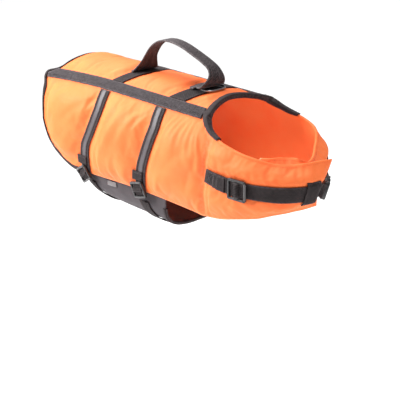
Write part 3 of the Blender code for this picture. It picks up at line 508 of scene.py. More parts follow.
# Folds of the flanks. The first ten are the solids' large ones, the rest the pulls between them.
FLANK_FOLDS = [Fold(*row) for row in (
    (118, -140, 34, 13, 70, 2.4), (92, -150, 30, 9, 72, -2), (178, -62, 30, 8, -58, 1.8),
    (205, -70, 26, 7, -62, 1.6), (222, -140, 30, 7, 84, 1.6), (20, -150, 22, 12, 80, 1.8),
    (-30, -45, 26, 9, -55, 1.3), (-160, -60, 34, 11, -60, 1.4), (262, -62, 26, 8, -50, 1.5),
    (330, -140, 30, 8, 8, 1.6),
)]
PULL_FOLDS = [Fold(*row) for row in (
    # the fan of puckers below the front of the spine webbing
    (138, -34, 20, 4, 66, 1.3), (150, -38, 24, 4.4, 70, 1.4), (163, -36, 20, 3.8, 74, 1.3),
    (175, -42, 26, 4.6, 80, 1.5), (188, -40, 22, 4, 88, 1.3), (199, -46, 24, 4.4, -84, 1.4),
    (211, -52, 24, 4.4, -76, 1.3), (224, -56, 22, 4.6, -68, 1.2), (238, -62, 22, 5, -60, 1),
    # the deep pull behind the front strap and the broad dent ahead of it
    (56, -84, 34, 12, 66, 2.2), (30, -70, 44, 9, 60, 1.6), (62, -52, 22, 6, 52, 1.3),
    (192, -122, 40, 24, 24, 3.2), (127, -146, 30, 8, 74, -2), (166, -90, 40, 9, 44, 1.6),
    (206, -104, 30, 7, 70, 1.4), (150, -160, 24, 6, 40, 1.2), (120, -96, 30, 8, 64, -1.2),
    # the middle of the flank
    (6, -56, 36, 8, 58, 1.3), (-10, -108, 44, 10, 64, -1.4), (18, -128, 34, 8, 70, 1.4),
    (46, -150, 24, 6, 78, 1.5), (-24, -146, 26, 6, 84, -1.2), (-4, -160, 20, 5, 96, 1.2),
    (-64, -36, 20, 5, 60, 0.8),
    # behind the rear strap
    (-76, -50, 30, 8, 42, 1.5), (-102, -62, 44, 8, 40, 1.5), (-96, -100, 44, 10, 52, 1.4),
    (-132, -112, 40, 9, 46, 1.4), (-112, -146, 26, 7, 58, 1.3), (-172, -96, 32, 8, 62, 1.1),
    (-150, -38, 34, 7, 24, 0.9), (-190, -56, 22, 6, 74, 0.8),
    # at the seam with the float
    (244, -150, 26, 4.4, 84, 1.6), (220, -158, 18, 4, 78, -1.6), (206, -156, 22, 4.6, 74, 1.2),
    (247, -112, 26, 5, 80, 1.1), (216, -88, 24, 4.4, 84, 1),
    # round the float
    (262, -128, 26, 5, 30, 1.1), (288, -64, 34, 6, 4, 1), (352, -70, 34, 7, -8, 1.1),
    (392, -66, 20, 5, 30, 1.1), (420, -64, 18, 4.4, 62, 1.2), (436, -70, 15, 4, 76, 1.2),
    (404, -122, 28, 6, 20, 1.1), (440, -118, 16, 5, -50, 1.1), (300, -122, 30, 6, -12, 1),
    (372, -112, 26, 5, 12, 1),
)]
# Folds of the back, by x and y.
BACK_FOLDS = [Fold(*row) for row in (
    (-150, -20, 30, 8, 20, 1.2), (-110, 30, 34, 9, -30, 1.3), (-70, -34, 26, 6, 60, 1.2),
    (20, -46, 30, 6, 12, 1.3), (60, 40, 34, 7, -14, 1.3), (88, -40, 20, 5, 66, 1.3),
    (100, 20, 18, 5, -70, 1.2), (4, 44, 20, 5, 64, 1.1), (176, -38, 14, 4, 50, 0.9),
    (-176, 40, 20, 6, 70, 1), (-60, 46, 20, 5, -62, 1), (40, 0, 40, 10, 4, -1), (2, -10, 26, 8, 70, 1.6),
    (-128, -50, 22, 5, 84, 1),
)]
# Folds of the belly flap, by x and a hundred times the turn.
BELLY_FOLDS = [Fold(*row) for row in (
    (-60, -50, 50, 7, 12, 1.3), (10, -62, 46, 6, -10, 1.1), (80, -48, 36, 7, 18, 1.3),
    (-20, -20, 60, 9, -6, 1), (60, 10, 60, 8, 8, 1.1), (-70, 24, 44, 7, -14, 1.2),
    (20, 46, 50, 7, 10, 1.2), (90, 54, 30, 6, -22, 1.1), (-96, -10, 16, 10, 80, 0.9),
    (100, -12, 14, 12, 84, 1), (-40, 62, 40, 5, 4, 0.9), (34, -80, 40, 5, -6, 0.8),
)]


def folded(folds: list[Fold], run: Array, z: Array) -> Array:
    """How far all of some folds sink the cloth."""
    return sum(fold.depth_at(run, z) for fold in folds)


@dataclass
class WornSide:
    """One flank of the jacket as worn: its stitched surface, its foam and its folds."""

    hand: Hand
    foam_edge: float = 5.0
    side_puff: float = 7.0
    float_puff: float = 7.0
    tucked_puff: float = 2.5
    profile_power: float = 2.5
    channel_half: float = 14.0
    seam_fill: float = 0.6
    seam_fill_low: float = 0.15
    seam_top_run: float = 240.0
    seam_low_run: float = 229.0
    seam_height: float = 146.0
    float_end_top: float = 478.0
    float_end_mid: float = 449.0
    float_end_low: float = 456.0
    float_end_height: float = 78.0
    float_end_bend: float = 0.6
    neck_tape_end: float = 258.0
    neck_start: float = 212.0

    def __post_init__(self) -> None:
        """Measure the runs and make a curve of each column of the sections."""
        rows = SIDE_SECTIONS + CHEST_SECTIONS[self.hand]
        self.side = self.hand.value
        self.runs = rows[0].x + travelled(np.array([(row.x, row.out) for row in rows]))
        names = Section.__dataclass_fields__
        self.columns = {name: Curve(self.runs, [getattr(row, name) for row in rows]) for name in names}

    def value(self, name: str, run: Number) -> Array:
        """One column of the sections at a run."""
        return self.columns[name].at(run)

    def top_edge(self, run: Number) -> Array:
        """Height of the top edge."""
        return self.value("top_z", run)

    def low_edge(self, run: Number) -> Array:
        """Height of the hem, with the rear corner cut off."""
        low = self.value("low_z", run)
        return np.where(np.asarray(run) < CORNER_END_X, np.maximum(low, REAR_CORNER.at(run)), low)

    def base(self, run: Number, z: Number) -> Array:
        """A point of the stitched outer surface."""
        run, z = level(run, z)
        step = 0.5
        along = unit(stack(
            self.value("x", run + step) - self.value("x", run - step),
            self.value("out", run + step) - self.value("out", run - step),
        ))
        mid = self.value("mid_z", run)
        upper = z > mid
        edge = np.where(upper, self.value("top_in", run), self.value("low_in", run))
        height = np.where(upper, self.value("top_z", run), self.value("low_z", run)) - mid
        share = (z - mid) / height
        bend = np.maximum(share, 0.0) ** self.profile_power
        lean = edge * bend + self.value("flare", run) * height * (bend - share)
        x = self.value("x", run) + along[..., 1] * lean
        out = self.value("out", run) - along[..., 0] * lean
        return stack(x, self.side * out, z)

    def normal(self, run: Number, z: Number) -> Array:
        """The outward direction at a point of the stitched surface."""
        run, z = level(run, z)
        along = self.base(run + 1.0, z) - self.base(run - 1.0, z)
        up = self.base(run, z + 1.0) - self.base(run, z - 1.0)
        return unit(np.cross(up, along)) * self.side

    def seam_run(self, z: Number) -> Array:
        """Run of the seam between side panel and chest float at a height."""
        share = (self.top_edge(self.seam_top_run) - z) / self.seam_height
        return between(self.seam_top_run, self.seam_low_run, share)

    def float_end(self, z: Number) -> Array:
        """Run of the chest float's free end at a height."""
        if self.hand is Hand.LEFT:
            return np.full(np.shape(z), self.runs[-1])
        share = (self.top_edge(self.float_end_mid) - z) / self.float_end_height
        bend = self.float_end_bend
        upper = between(self.float_end_top, self.float_end_mid, share / bend)
        lower = between(self.float_end_mid, self.float_end_low, (share - bend) / (1 - bend))
        return np.where(share < bend, upper, lower)

    def puff(self, run: Array, z: Array) -> Array:
        """How far the foam swells out of the stitched surface."""
        top, low, seam = self.top_edge(run), self.low_edge(run), self.seam_run(z)
        fill = between(self.seam_fill_low, self.seam_fill, ramp(z - low - 10, 40))
        fill = between(fill, 1.0, ramp(abs(run - seam) - 1, 20))
        bound = between(20.0, 1.0, ramp(run - CORNER_END_X, 20))
        side = self.side_puff * fill * ramp(run - self.runs[0] - 10, 26)
        side = side * ramp(top - z - 9, 30) * ramp(z - low - bound, 24)
        for strap in STRAPS:
            side = side * ramp(abs(run - strap.run(z)) - self.channel_half, 24)
        taped = between(11.0, 4.0, ramp(run - self.neck_tape_end + 16, 20))
        chest = self.float_puff * fill * ramp(self.float_end(z) - run - 1, 18)
        chest = chest * ramp(top - z - taped, 20) * ramp(z - low - 1, 20)
        if self.hand is Hand.LEFT:
            chest = chest * between(1.0, self.tucked_puff / self.float_puff, ramp(run - 360, 60))
        return np.where(run < seam, side, chest)

    def outer(self, run: Number, z: Number, lift: float = 0.0) -> Array:
        """A point of the outer face with its largest folds, or one lifted off it."""
        run, z = level(run, z)
        swell = self.puff(run, z)
        swell = swell - folded(FLANK_FOLDS, run, z) * np.minimum(swell / self.side_puff, 1.0)
        return self.base(run, z) + self.normal(run, z) * (swell + lift)[..., None]

    def inner(self, run: Number, z: Number) -> Array:
        """A point of the plain inner face."""
        return self.base(run, z) - self.normal(run, z) * self.foam_edge

    def line(self, run: Array, z: Array, lift: float = 0.1) -> Path:
        """A line on the outer face."""
        run, z = level(run, z)
        return Path(self.outer(run, z, lift), self.normal(run, z))


@dataclass
class WornBack:
    """The back panel's surface, crowned between its seams with the flanks."""

    side: WornSide
    spine_z: float = 5.0
    puff: float = 5.0
    half: float = 75.0
    rear_x: float = -202.0
    skew: float = 9.0
    rear_turn: float = 0.76
    neck_mid_x: float = 190.0
    neck_power: float = 1.6
    seam_end_x: float = 208.0

    def neck_x(self, share: Number) -> Array:
        """The scooped front edge."""
        scoop = np.minimum(np.abs(share), 1.0) ** self.neck_power
        return between(self.neck_mid_x, self.side.neck_start, scoop)

    def tail_x(self, share: Number) -> Array:
        """The rear edge, a little askew as worn, which turns to meet the flanks'."""
        turn = ramp(np.abs(share) - self.rear_turn, 1 - self.rear_turn)
        return between(self.rear_x - self.skew * share, SIDE_SECTIONS[0].x, turn)

    def seam_half(self, x: Number) -> Array:
        """From the spine to the seam under a spine webbing."""
        x = np.minimum(x, self.seam_end_x)
        return self.side.value("out", x) - self.side.value("top_in", x)

    def seam_z(self, x: Number) -> Array:
        """Height of the seam under a spine webbing."""
        return self.side.top_edge(np.minimum(x, self.seam_end_x))

    def point(self, x: Number, y: Number, lift: Number = 0.0, puffed: bool = True) -> Array:
        """A point of the outer face, or one lifted off it."""
        x, y = level(x, y)
        half, seam_z = self.seam_half(x), self.seam_z(x)
        crown, share = self.spine_z - seam_z, y / half
        outward = unit(stack(0.0, 2 * crown * share / half, 1.0))
        rise = np.zeros(x.shape) + lift
        if puffed:
            swell = self.puff * ramp(half - abs(y) - 17, 28)
            swell = swell * ramp(x - self.tail_x(share) - 2, 26) * ramp(self.neck_x(share) - x - 10, 22)
            for strap in STRAPS:
                swell = swell * ramp(abs(x - strap.cross_x(share)) - strap.back_width / 2 - 1.5, 24)
            rise = rise + swell
        return stack(x, y, seam_z + crown * (1 - share * share)) + outward * rise[..., None]

    def seam_inward(self, x: Number, hand: Hand) -> Array:
        """From the outer to the inner face at the mitred seam between back and side."""
        x = np.minimum(x, self.seam_end_x)
        half, top = self.seam_half(x), self.seam_z(x)
        away = self.side.normal(x, top) * np.array([1.0, hand.value * self.side.side, 1.0])
        back = unit(stack(0.0, hand.value * 2 * (self.spine_z - top) / half, 1.0))
        mitre = unit(away + back)
        return mitre * (-self.side.foam_edge / (mitre * back).sum(axis=-1))[..., None]


@dataclass
class WornBelly:
    """The belly flap's surface; a turn runs from -1 at the right hem to 1 at the left hem."""

    side: WornSide
    power: float = 2.9
    rear_hem_x: float = -138.0
    rear_low_x: float = -128.0
    front_hem_x: float = 126.0
    front_low_x: float = 118.0
    # the lowest line, seen from the side
    low: Curve = field(default_factory=lambda: Curve(
        [-142, -126, -95, -60, 0, 60, 124], [-206, -216, -228, -237, -240, -240, -239]))

    def inset(self, x: Number) -> Array:
        """How far it lies inside the side panel's outer face, deeper behind its binding."""
        return self.side.foam_edge + between(3.3, 1.8, ramp(x - CORNER_END_X - 8, 14))

    def surface(self, x: Number, turn: Number) -> Array:
        """A point of its outer face."""
        x, turn = level(x, turn)
        hem_z = self.side.low_edge(x)
        half = self.side.value("out", x) - self.side.value("low_in", x) - self.inset(x)
        angle = math.pi / 2 * (1 - np.abs(turn))
        y = np.copysign(half * np.maximum(np.cos(angle), 0) ** (2 / self.power), turn)
        return stack(x, y, hem_z - (hem_z - self.low.at(x)) * np.maximum(np.sin(angle), 0) ** (2 / self.power))

    def outward(self, x: Number, turn: Number) -> Array:
        """The outward direction of its outer face."""
        x, turn = level(x, turn)
        across = self.surface(x, turn + 0.004) - self.surface(x, turn - 0.004)
        along = self.surface(x + 1, turn) - self.surface(x - 1, turn)
        return unit(np.cross(across, along))

    def point(self, x: Number, turn: Number, lift: Number = 0.0) -> Array:
        """A point lifted off its outer face."""
        return self.surface(x, turn) + self.outward(x, turn) * np.asarray(lift)[..., None]

    def tucked(self, hand: Hand, x: Number, rise: float, lift: float = 0.0) -> Array:
        """A point of its edge, which lies inside the hem."""
        z = self.side.low_edge(x) + rise
        depth = (self.inset(x) - lift)[..., None]
        point = self.side.base(x, z) - self.side.normal(x, z) * depth
        point[..., 1] = np.abs(point[..., 1]) * hand.value
        return point

    def end_x(self, turn: Number, front: bool) -> Array:
        """Where its front or rear edge stands at a turn."""
        hem, low = (self.front_hem_x, self.front_low_x) if front else (self.rear_hem_x, self.rear_low_x)
        return between(low, hem, np.asarray(turn) ** 2)


# ---- finishes
def linear(color: str) -> tuple[float, float, float, float]:
    """Turn an sRGB hex colour into linear RGBA."""
    channels = [int(color[i:i + 2], 16) / 255 for i in (0, 2, 4)]
    return (*(c / 12.92 if c <= 0.04045 else ((c + 0.055) / 1.055) ** 2.4 for c in channels), 1.0)


Tree = bpy.types.NodeTree
Socket = bpy.types.NodeSocket


def adjust(thing: object, **settings: object) -> None:
    """Set some of a thing's properties."""
    for key, value in settings.items():
        setattr(thing, key, value)


def add_node(
    tree: Tree, kind: str, links: dict[int | str, object] | None = None, **settings: object,
) -> bpy.types.Node:
    """Add a node with its settings and inputs.

    Args:
        tree: The tree it goes into.
        kind: The node's type.
        links: For each input, an output socket to link or a value to set.
        **settings: Properties of the node.

    Returns:
        The new node.
    """
    node = tree.nodes.new(kind)
    adjust(node, **settings)
    for key, value in (links or {}).items():
        if isinstance(value, Socket):
            tree.links.new(value, node.inputs[key])
        else:
            node.inputs[key].default_value = value
    return node


def wave_scale(pitch: float, diagonal: bool = False) -> float:
    """The wave texture's scale for a pitch in millimetres on metre coordinates."""
    return math.pi / (5 if diagonal else 10) / (pitch * MM)


def noise(tree: Tree, vector: Socket, size: float, detail: float = 3.0) -> Socket:
    """Add soft noise with patches of a size in millimetres."""
    links = {"Vector": vector, "Scale": 1 / (size * MM), "Detail": detail}
    return add_node(tree, "ShaderNodeTexNoise", links).outputs["Fac"]


def spread(tree: Tree, value: Socket, low: float, high: float, start: float = 0.0, end: float = 1.0) -> Socket:
    """Add a change of range, from low and high to start and end, held beyond them."""
    links = {"Value": value, "From Min": low, "From Max": high, "To Min": start, "To Max": end}
    return add_node(tree, "ShaderNodeMapRange", links).outputs[0]


def combined(tree: Tree, kind: str, first: Socket | float, second: Socket | float) -> Socket:
    """Add a sum or product held between 0 and 1."""
    return add_node(tree, "ShaderNodeMath", {0: first, 1: second}, operation=kind, use_clamp=True).outputs[0]


def blended(tree: Tree, share: Socket, first: object, second: object) -> Socket:
    """Add a blend of two colours, each a socket or a linear colour."""
    return add_node(tree, "ShaderNodeMix", {0: share, 6: first, 7: second}, data_type="RGBA").outputs[2]


def raised(tree: Tree, height: Socket, relief: float, strength: float, under: Socket | None = None) -> Socket:
    """Add a relief of some millimetres, over another one if given."""
    links = {"Height": height, "Distance": relief * MM, "Strength": strength}
    if under is not None:
        links["Normal"] = under
    return add_node(tree, "ShaderNodeBump", links).outputs[0]


def start_material(name: str, color: str, specular: float) -> tuple[Material, Tree, dict[str, Socket]]:
    """Start a material.

    Args:
        name: What the real material is.
        color: Its usual colour.
        specular: Specular level of its surface.

    Returns:
        The material, its tree, and its shader's inputs with the sockets "place" and "rubbed_and_lit", the last for
        scuffing and painted highlight.
    """
    material = bpy.data.materials.new(name)
    material.use_nodes = True
    material.diffuse_color = linear(color)
    tree = material.node_tree
    sockets = dict(tree.nodes["Principled BSDF"].inputs.items())
    sockets["Specular IOR Level"].default_value = specular
    sockets["place"] = add_node(tree, "ShaderNodeTexCoord").outputs["Object"]
    sockets["rubbed_and_lit"] = add_node(tree, "ShaderNodeAttribute", attribute_name="rubbed_and_lit").outputs["Fac"]
    return material, tree, sockets


class Weave(Enum):
    """How a cloth's threads lie."""

    PLAIN = "plain"
    TWILL = "twill"
    RIBS = "ribs"


@dataclass(frozen=True)
class Cloth:
    """A woven finish.

    Attributes:
        name: What the real material is.
        color: Its usual colour.
        deep: Its colour between threads and in its darker patches.
        worn_and_lit: Its colour where its edges are scuffed.
        weave: How its threads lie.
        pitch: Distance between threads in millimetres, drawn as coarse as it needs to show.
        relief: Height of the threads in millimetres.
        roughness: Usual roughness.
        specular: Specular level of its fibres or coating.
        sheen: Strength of the soft shine of its fibres.
        patch: Size of its patches of tone in millimetres.
        mottle: How much the patches differ.
        thread_tone: How much darker it is between the threads.
        fleck: How much single threads differ in tone.
        crumple: Height of its small crumples in millimetres.
    """

    name: str
    color: str
    deep: str
    worn_and_lit: str
    weave: Weave
    pitch: float
    relief: float
    roughness: float
    specular: float = 0.4
    sheen: float = 0.0
    patch: float = 30.0
    mottle: float = 0.3
    thread_tone: float = 0.3
    fleck: float = 0.0
    crumple: float = 0.0
    sheen_tint: str = "FFFFFF"

    def threads(self, tree: Tree, uv: Socket) -> Socket:
        """Add the pattern of threads, 0 between them and 1 on top."""
        lines = {"Vector": uv, "Scale": wave_scale(self.pitch), "Distortion": 0.6, "Detail": 1.0}
        across = add_node(tree, "ShaderNodeTexWave", lines)
        if self.weave is Weave.RIBS:
            across.bands_direction = "Y"
            return across.outputs["Fac"]
        if self.weave is Weave.TWILL:
            slanted = {**lines, "Scale": wave_scale(self.pitch * 1.4, True), "Distortion": 1.4, "Detail": 2.0}
            slant = add_node(tree, "ShaderNodeTexWave", slanted, bands_direction="DIAGONAL").outputs["Fac"]
            main = combined(tree, "MULTIPLY", slant, 0.75)
            return combined(tree, "ADD", main, combined(tree, "MULTIPLY", across.outputs["Fac"], 0.25))
        along = add_node(tree, "ShaderNodeTexWave", lines, bands_direction="Y")
        return combined(tree, "MULTIPLY", across.outputs["Fac"], along.outputs["Fac"])

    def build(self) -> Material:
        """Make the material, which reads the cloth coordinates, the place and the wear."""
        material, tree, sockets = start_material(self.name, self.color, self.specular)
        uv = add_node(tree, "ShaderNodeUVMap", uv_map="cloth").outputs["UV"]
        place, threads = sockets["place"], self.threads(tree, uv)
        patches = spread(tree, noise(tree, place, self.patch, 4.0), 0.3, 0.7, 0.0, self.mottle)
        flecks = spread(tree, noise(tree, uv, self.pitch * 1.1, 1.0), 0.36, 0.64, 0.0, self.fleck)
        gaps = spread(tree, threads, 0.0, 1.0, self.thread_tone, 0.0)
        share = combined(tree, "ADD", combined(tree, "ADD", patches, gaps), flecks)
        color = blended(tree, share, linear(self.color), linear(self.deep))
        scuffs = noise(tree, place, 5.0, 3.0)
        wear_and_lit = combined(tree, "MULTIPLY", sockets["rubbed_and_lit"], spread(tree, scuffs, 0.4, 0.62, 0.15, 0.9))
        tree.links.new(blended(tree, wear_and_lit, color, linear(self.worn_and_lit)), sockets["Base Color"])
        rough = spread(tree, scuffs, 0.0, 1.0, self.roughness - 0.08, min(self.roughness + 0.08, 1.0))
        tree.links.new(rough, sockets["Roughness"])
        under = raised(tree, noise(tree, place, 11.0, 4.0), self.crumple, 1.0) if self.crumple else None
        tree.links.new(raised(tree, threads, self.relief, 0.8, under), sockets["Normal"])
        sheen = {"Weight": self.sheen, "Roughness": 0.5, "Tint": linear(self.sheen_tint)}
        for word, value in sheen.items():
            sockets["Sheen " + word].default_value = value
        return material


@dataclass(frozen=True)
class Moulding:
    """A moulded plastic, drawn metal or spun thread finish.

    Attributes:
        name: What the real material is.
        color: Its usual colour.
        worn_and_lit: Its colour where hands and straps have scuffed it, and on raised bars as a painted highlight.
        roughness: Usual roughness.
        grain: Size of its surface grain in millimetres.
        relief: Height of the grain in millimetres.
        metallic: 1 for bare metal.
        stretch: How much longer the grain is along X.
        specular: Specular level.
    """

    name: str
    color: str
    worn_and_lit: str
    roughness: float
    grain: float
    relief: float
    metallic: float = 0.0
    stretch: float = 1.0
    specular: float = 0.5

    def build(self) -> Material:
        """Make the material, which reads the place, the scuffing and the painted highlights."""
        material, tree, sockets = start_material(self.name, self.color, self.specular)
        place = sockets["place"]
        drawn = add_node(tree, "ShaderNodeMapping", {"Vector": place, "Scale": (1 / self.stretch, 1.0, 1.0)})
        grain = noise(tree, drawn.outputs[0], self.grain)
        scuffs = spread(tree, noise(tree, place, 9.0, 5.0), 0.52, 0.75)
        # the attribute adds a painted highlight on raised bars to the scuffs
        wear_and_lit = combined(tree, "ADD", scuffs, combined(tree, "MULTIPLY", sockets["rubbed_and_lit"], 0.85))
        tree.links.new(blended(tree, wear_and_lit, linear(self.color), linear(self.worn_and_lit)), sockets["Base Color"])
        rough = spread(tree, grain, 0.0, 1.0, self.roughness - 0.07, self.roughness + 0.1)
        tree.links.new(rough, sockets["Roughness"])
        tree.links.new(raised(tree, grain, self.relief, 0.6), sockets["Normal"])
        sockets["Metallic"].default_value = self.metallic
        return material


# Coated nylon: the eye sees an even, glowing orange with a soft shine, no single threads but
# small crumples, and paler rubbed edges. Its 0.5 mm threads are drawn 1.1 mm apart.
SHELL_NYLON = Cloth(
    "coated_nylon_orange", "FF8246", "FF6C34", "FFA274", Weave.PLAIN, 1.1, 0.05, 0.62, 0.22, 0.04, 55.0,
    0.6, 0.14, 0.06, 0.5, "FFD8A8")
# Polypropylene webbing: a dry grey band whose slanting threads catch the light one by one.
# Its 1 mm threads are drawn 3.2 mm apart.
WEBBING = Cloth(
    "polypropylene_webbing", "51494C", "151112", "625A5C", Weave.TWILL, 3.2, 0.3, 0.78, 0.2, 0.08, 14.0,
    0.2, 0.55, 0.5, 0.0, "D8CED2")
# The straps of the flanks, chest and belly are the same webbing, dyed darker. On the cross straps of the back it
# stands for painted shade.
DARK_WEBBING = Cloth(
    "polypropylene_webbing_black", "3B3233", "130E0F", "4E4546", Weave.TWILL, 3.0, 0.3, 0.78, 0.22, 0.05,
    14.0, 0.25, 0.65, 0.4, 0.0, "C8BEC2")
# The handle's webbing: doubled, brownish black with a heathered face.
HANDLE_WEBBING = Cloth(
    "polypropylene_webbing_doubled", "595052", "1C1315", "6E6566", Weave.TWILL, 3.2, 0.35, 0.76, 0.3, 0.15,
    16.0, 0.3, 0.6, 0.45, 0.0, "D0C6CA")
# Glass-bead reflective tape: flat mid grey with a fine sparkle and darker, cracked edges.
REFLECTIVE = Cloth(
    "glass_bead_reflective_tape", "605A5E", "484346", "3A3538", Weave.PLAIN, 1.2, 0.04, 0.5, 0.35, 0.0, 7.0,
    0.4, 0.2, 0.25)
# Polyester oxford: a flat charcoal cloth with a dry face.
BELLY_OXFORD = Cloth(
    "polyester_oxford_charcoal", "524C4F", "383235", "686164", Weave.PLAIN, 1.3, 0.08, 0.85, 0.3, 0.12, 24.0,
    0.4, 0.4, 0.1, 0.35, "D0C8CC")
# Grosgrain tape: close ribs across a narrow, nearly black tape. Its 0.6 mm ribs are drawn 1.3 mm apart.
EDGE_TAPE = Cloth(
    "polyester_grosgrain_tape", "352C2D", "1C1617", "4A4142", Weave.RIBS, 1.3, 0.12, 0.82, 0.22, 0.06, 9.0,
    0.35, 0.5, 0.15, 0.0, "C8BEC2")
# Woven satin: a plain greyish tag with a silky face and no lettering.
LABEL_SATIN = Cloth(
    "polyester_satin_grey", "625D5E", "4A4546", "787374", Weave.RIBS, 0.9, 0.03, 0.5, 0.5, 0.2, 5.0, 0.35,
    0.15)
# Acetal: black moulding with a low, even gloss, paler in scuffs and on its raised bars, where the paleness is
# scuffing and a painted highlight together.
ACETAL = Moulding("moulded_acetal_black", "1F1E1F", "585455", 0.38, 0.9, 0.02, specular=0.5)
# Drawn steel wire: a dull shine, with fine lines along the wire.
STEEL_WIRE = Moulding("nickel_plated_steel_wire", "A3A2A6", "7C7B7F", 0.28, 0.5, 0.01, 1.0, 6.0)
# Bonded polyester thread: small smooth stitches, a little paler than the webbing they hold.
GREY_THREAD = Moulding("bonded_polyester_thread_grey", "5E5658", "4A4345", 0.65, 0.6, 0.03)
# The shell's own thread is dyed to match it.
ORANGE_THREAD = Moulding("bonded_polyester_thread_orange", "F2682A", "E2571E", 0.6, 0.6, 0.03)
# Matt paper: pale, with hardly any texture.
PAPER = Moulding("matt_paper_white", "FFFFFF", "FCFCFC", 0.9, 4.0, 0.01, specular=0.1)


# ---- padded panels
@dataclass
class Panel:
    """A foam-filled panel as grids of points, with where it is sewn down."""

    name: str
    nodes: tuple[str, ...]
    outer: Array
    inner: Array
    sewn: Array
    rubbed_and_lit: Array
    flip: bool
    fill: float = 0.7
    swell: float = 3.8
    edge_round: float = 1.7
    growth: float = 0.02

    def uv(self) -> Array:
        """Distances across and down the cloth at each place, in metres."""
        u = np.pad(np.cumsum(steps_along(self.outer, 1), axis=1), ((0, 0), (1, 0)))
        v = np.pad(np.cumsum(steps_along(self.outer, 0), axis=0), ((1, 0), (0, 0)))
        return stack(u, v) * MM

    def rim(self) -> Array:
        """Rows and columns of the places round the edge of the grid, in order."""
        rows, columns = self.outer.shape[:2]
        edge = [(i, 0) for i in range(rows)] + [(rows - 1, j) for j in range(1, columns)]
        edge += [(i, columns - 1) for i in range(rows - 2, -1, -1)]
        return np.array(edge + [(0, j) for j in range(columns - 2, 0, -1)])

    def build(self) -> Object:
        """Make the closed wall with a turned, rounded edge, its outer face first."""
        rows, columns = self.outer.shape[:2]
        size, (i, j) = rows * columns, self.rim().T
        inside = (np.clip(i, 1, rows - 2), np.clip(j, 1, columns - 2))
        faces_in = []
        for points in (self.outer, self.inner):
            drawn = points.copy()
            drawn[i, j] += unit(points[inside] - points[i, j]) * self.edge_round
            faces_in.append(drawn.reshape(-1, 3))
        walls = [between(self.outer[i, j], self.inner[i, j], share) for share in (0.24, 0.76)]
        count, uv = len(i), self.uv()
        n, m = np.arange(count), (np.arange(count) + 1) % count
        edge = i * columns + j
        chain = [edge, 2 * size + n, 2 * size + count + n, edge + size]
        faces = grid_faces(rows, columns, self.flip) + grid_faces(rows, columns, not self.flip, size)
        for near, far in zip(chain, chain[1:]):
            faces += turned(np.stack([near[m], near, far, far[m]], axis=1), self.flip)
        flat_uv = np.concatenate([uv.reshape(-1, 2)] * 2 + [uv[i, j]] * 2)
        rubbed_and_lit = np.concatenate([self.rubbed_and_lit.ravel(), 0 * self.rubbed_and_lit.ravel(), *[self.rubbed_and_lit[i, j]] * 2])
        return mesh_object(self.name, np.concatenate(faces_in + walls), faces, flat_uv, rubbed_and_lit)

    def settle(self, item: Object) -> None:
        """Let the cloth swell over its foam between the stitched lines, by simulation."""
        count, size = len(item.data.vertices), self.sewn.size
        start = corner_places(item)
        held = np.ones(count)
        held[:size] = self.sewn.ravel()
        pins = item.vertex_groups.new(name="sewn")
        pins.add([int(i) for i in np.flatnonzero(held >= 0.5)], 1.0, "REPLACE")
        cloth = item.modifiers.new("settle", "CLOTH")
        adjust(cloth.settings, quality=6, mass=0.2, tension_stiffness=22.0, compression_stiffness=22.0,
               shear_stiffness=8.0, bending_stiffness=0.3, vertex_group_mass="sewn", use_pressure=True,
               uniform_pressure_force=4.5, shrink_min=-self.growth)
        cloth.settings.effector_weights.gravity = 0.0
        cloth.collision_settings.use_collision = False
        adjust(cloth.point_cache, frame_start=1, frame_end=20)
        for step in range(1, 21):
            bpy.context.scene.frame_set(step)
        shift = corner_places(item.evaluated_get(bpy.context.evaluated_depsgraph_get())) - start
        length = np.linalg.norm(shift, axis=1, keepdims=True)
        limit = self.swell * MM
        shift *= np.tanh(length / limit) * limit / np.maximum(length, 1e-9)
        shift[held >= 0.5] = 0.0
        item.modifiers.remove(cloth)
        item.vertex_groups.clear()
        item.data.vertices.foreach_set("co", (start + shift).ravel())
        item.data.update()
        bpy.context.scene.frame_set(1)
        farthest = float(np.linalg.norm(shift, axis=1).max()) / MM
        log.info("%s settled, moved up to %.1f mm", self.name, farthest)

    def finish(self, material: Material) -> Object:
        """Build, settle, smooth and dress the panel in the shell cloth."""
        item = self.build()
        self.settle(item)
        smooth = item.modifiers.new("smooth", "SUBSURF")
        smooth.levels = smooth.render_levels = 1
        item = dress(baked(item), material, "shell_cloth", *self.nodes)
        return item


def puckers(along: Array, distance: Array, pitch: float, phase: float, depth: float = 0.5) -> Array:
    """How far the stitches of a seam draw the cloth in beside it.

    Args:
        along: Place along the seam.
        distance: Distance from it.
        pitch: Usual distance between puckers.
        phase: Shift of their pattern.
        depth: Depth of the deepest.

    Returns:
        Depths in millimetres.
    """
    near = bump(distance - 5.0, 7.5) * ramp(distance, 3.0)
    return depth * near * ripple(along + 0.4 * distance, pitch, phase)


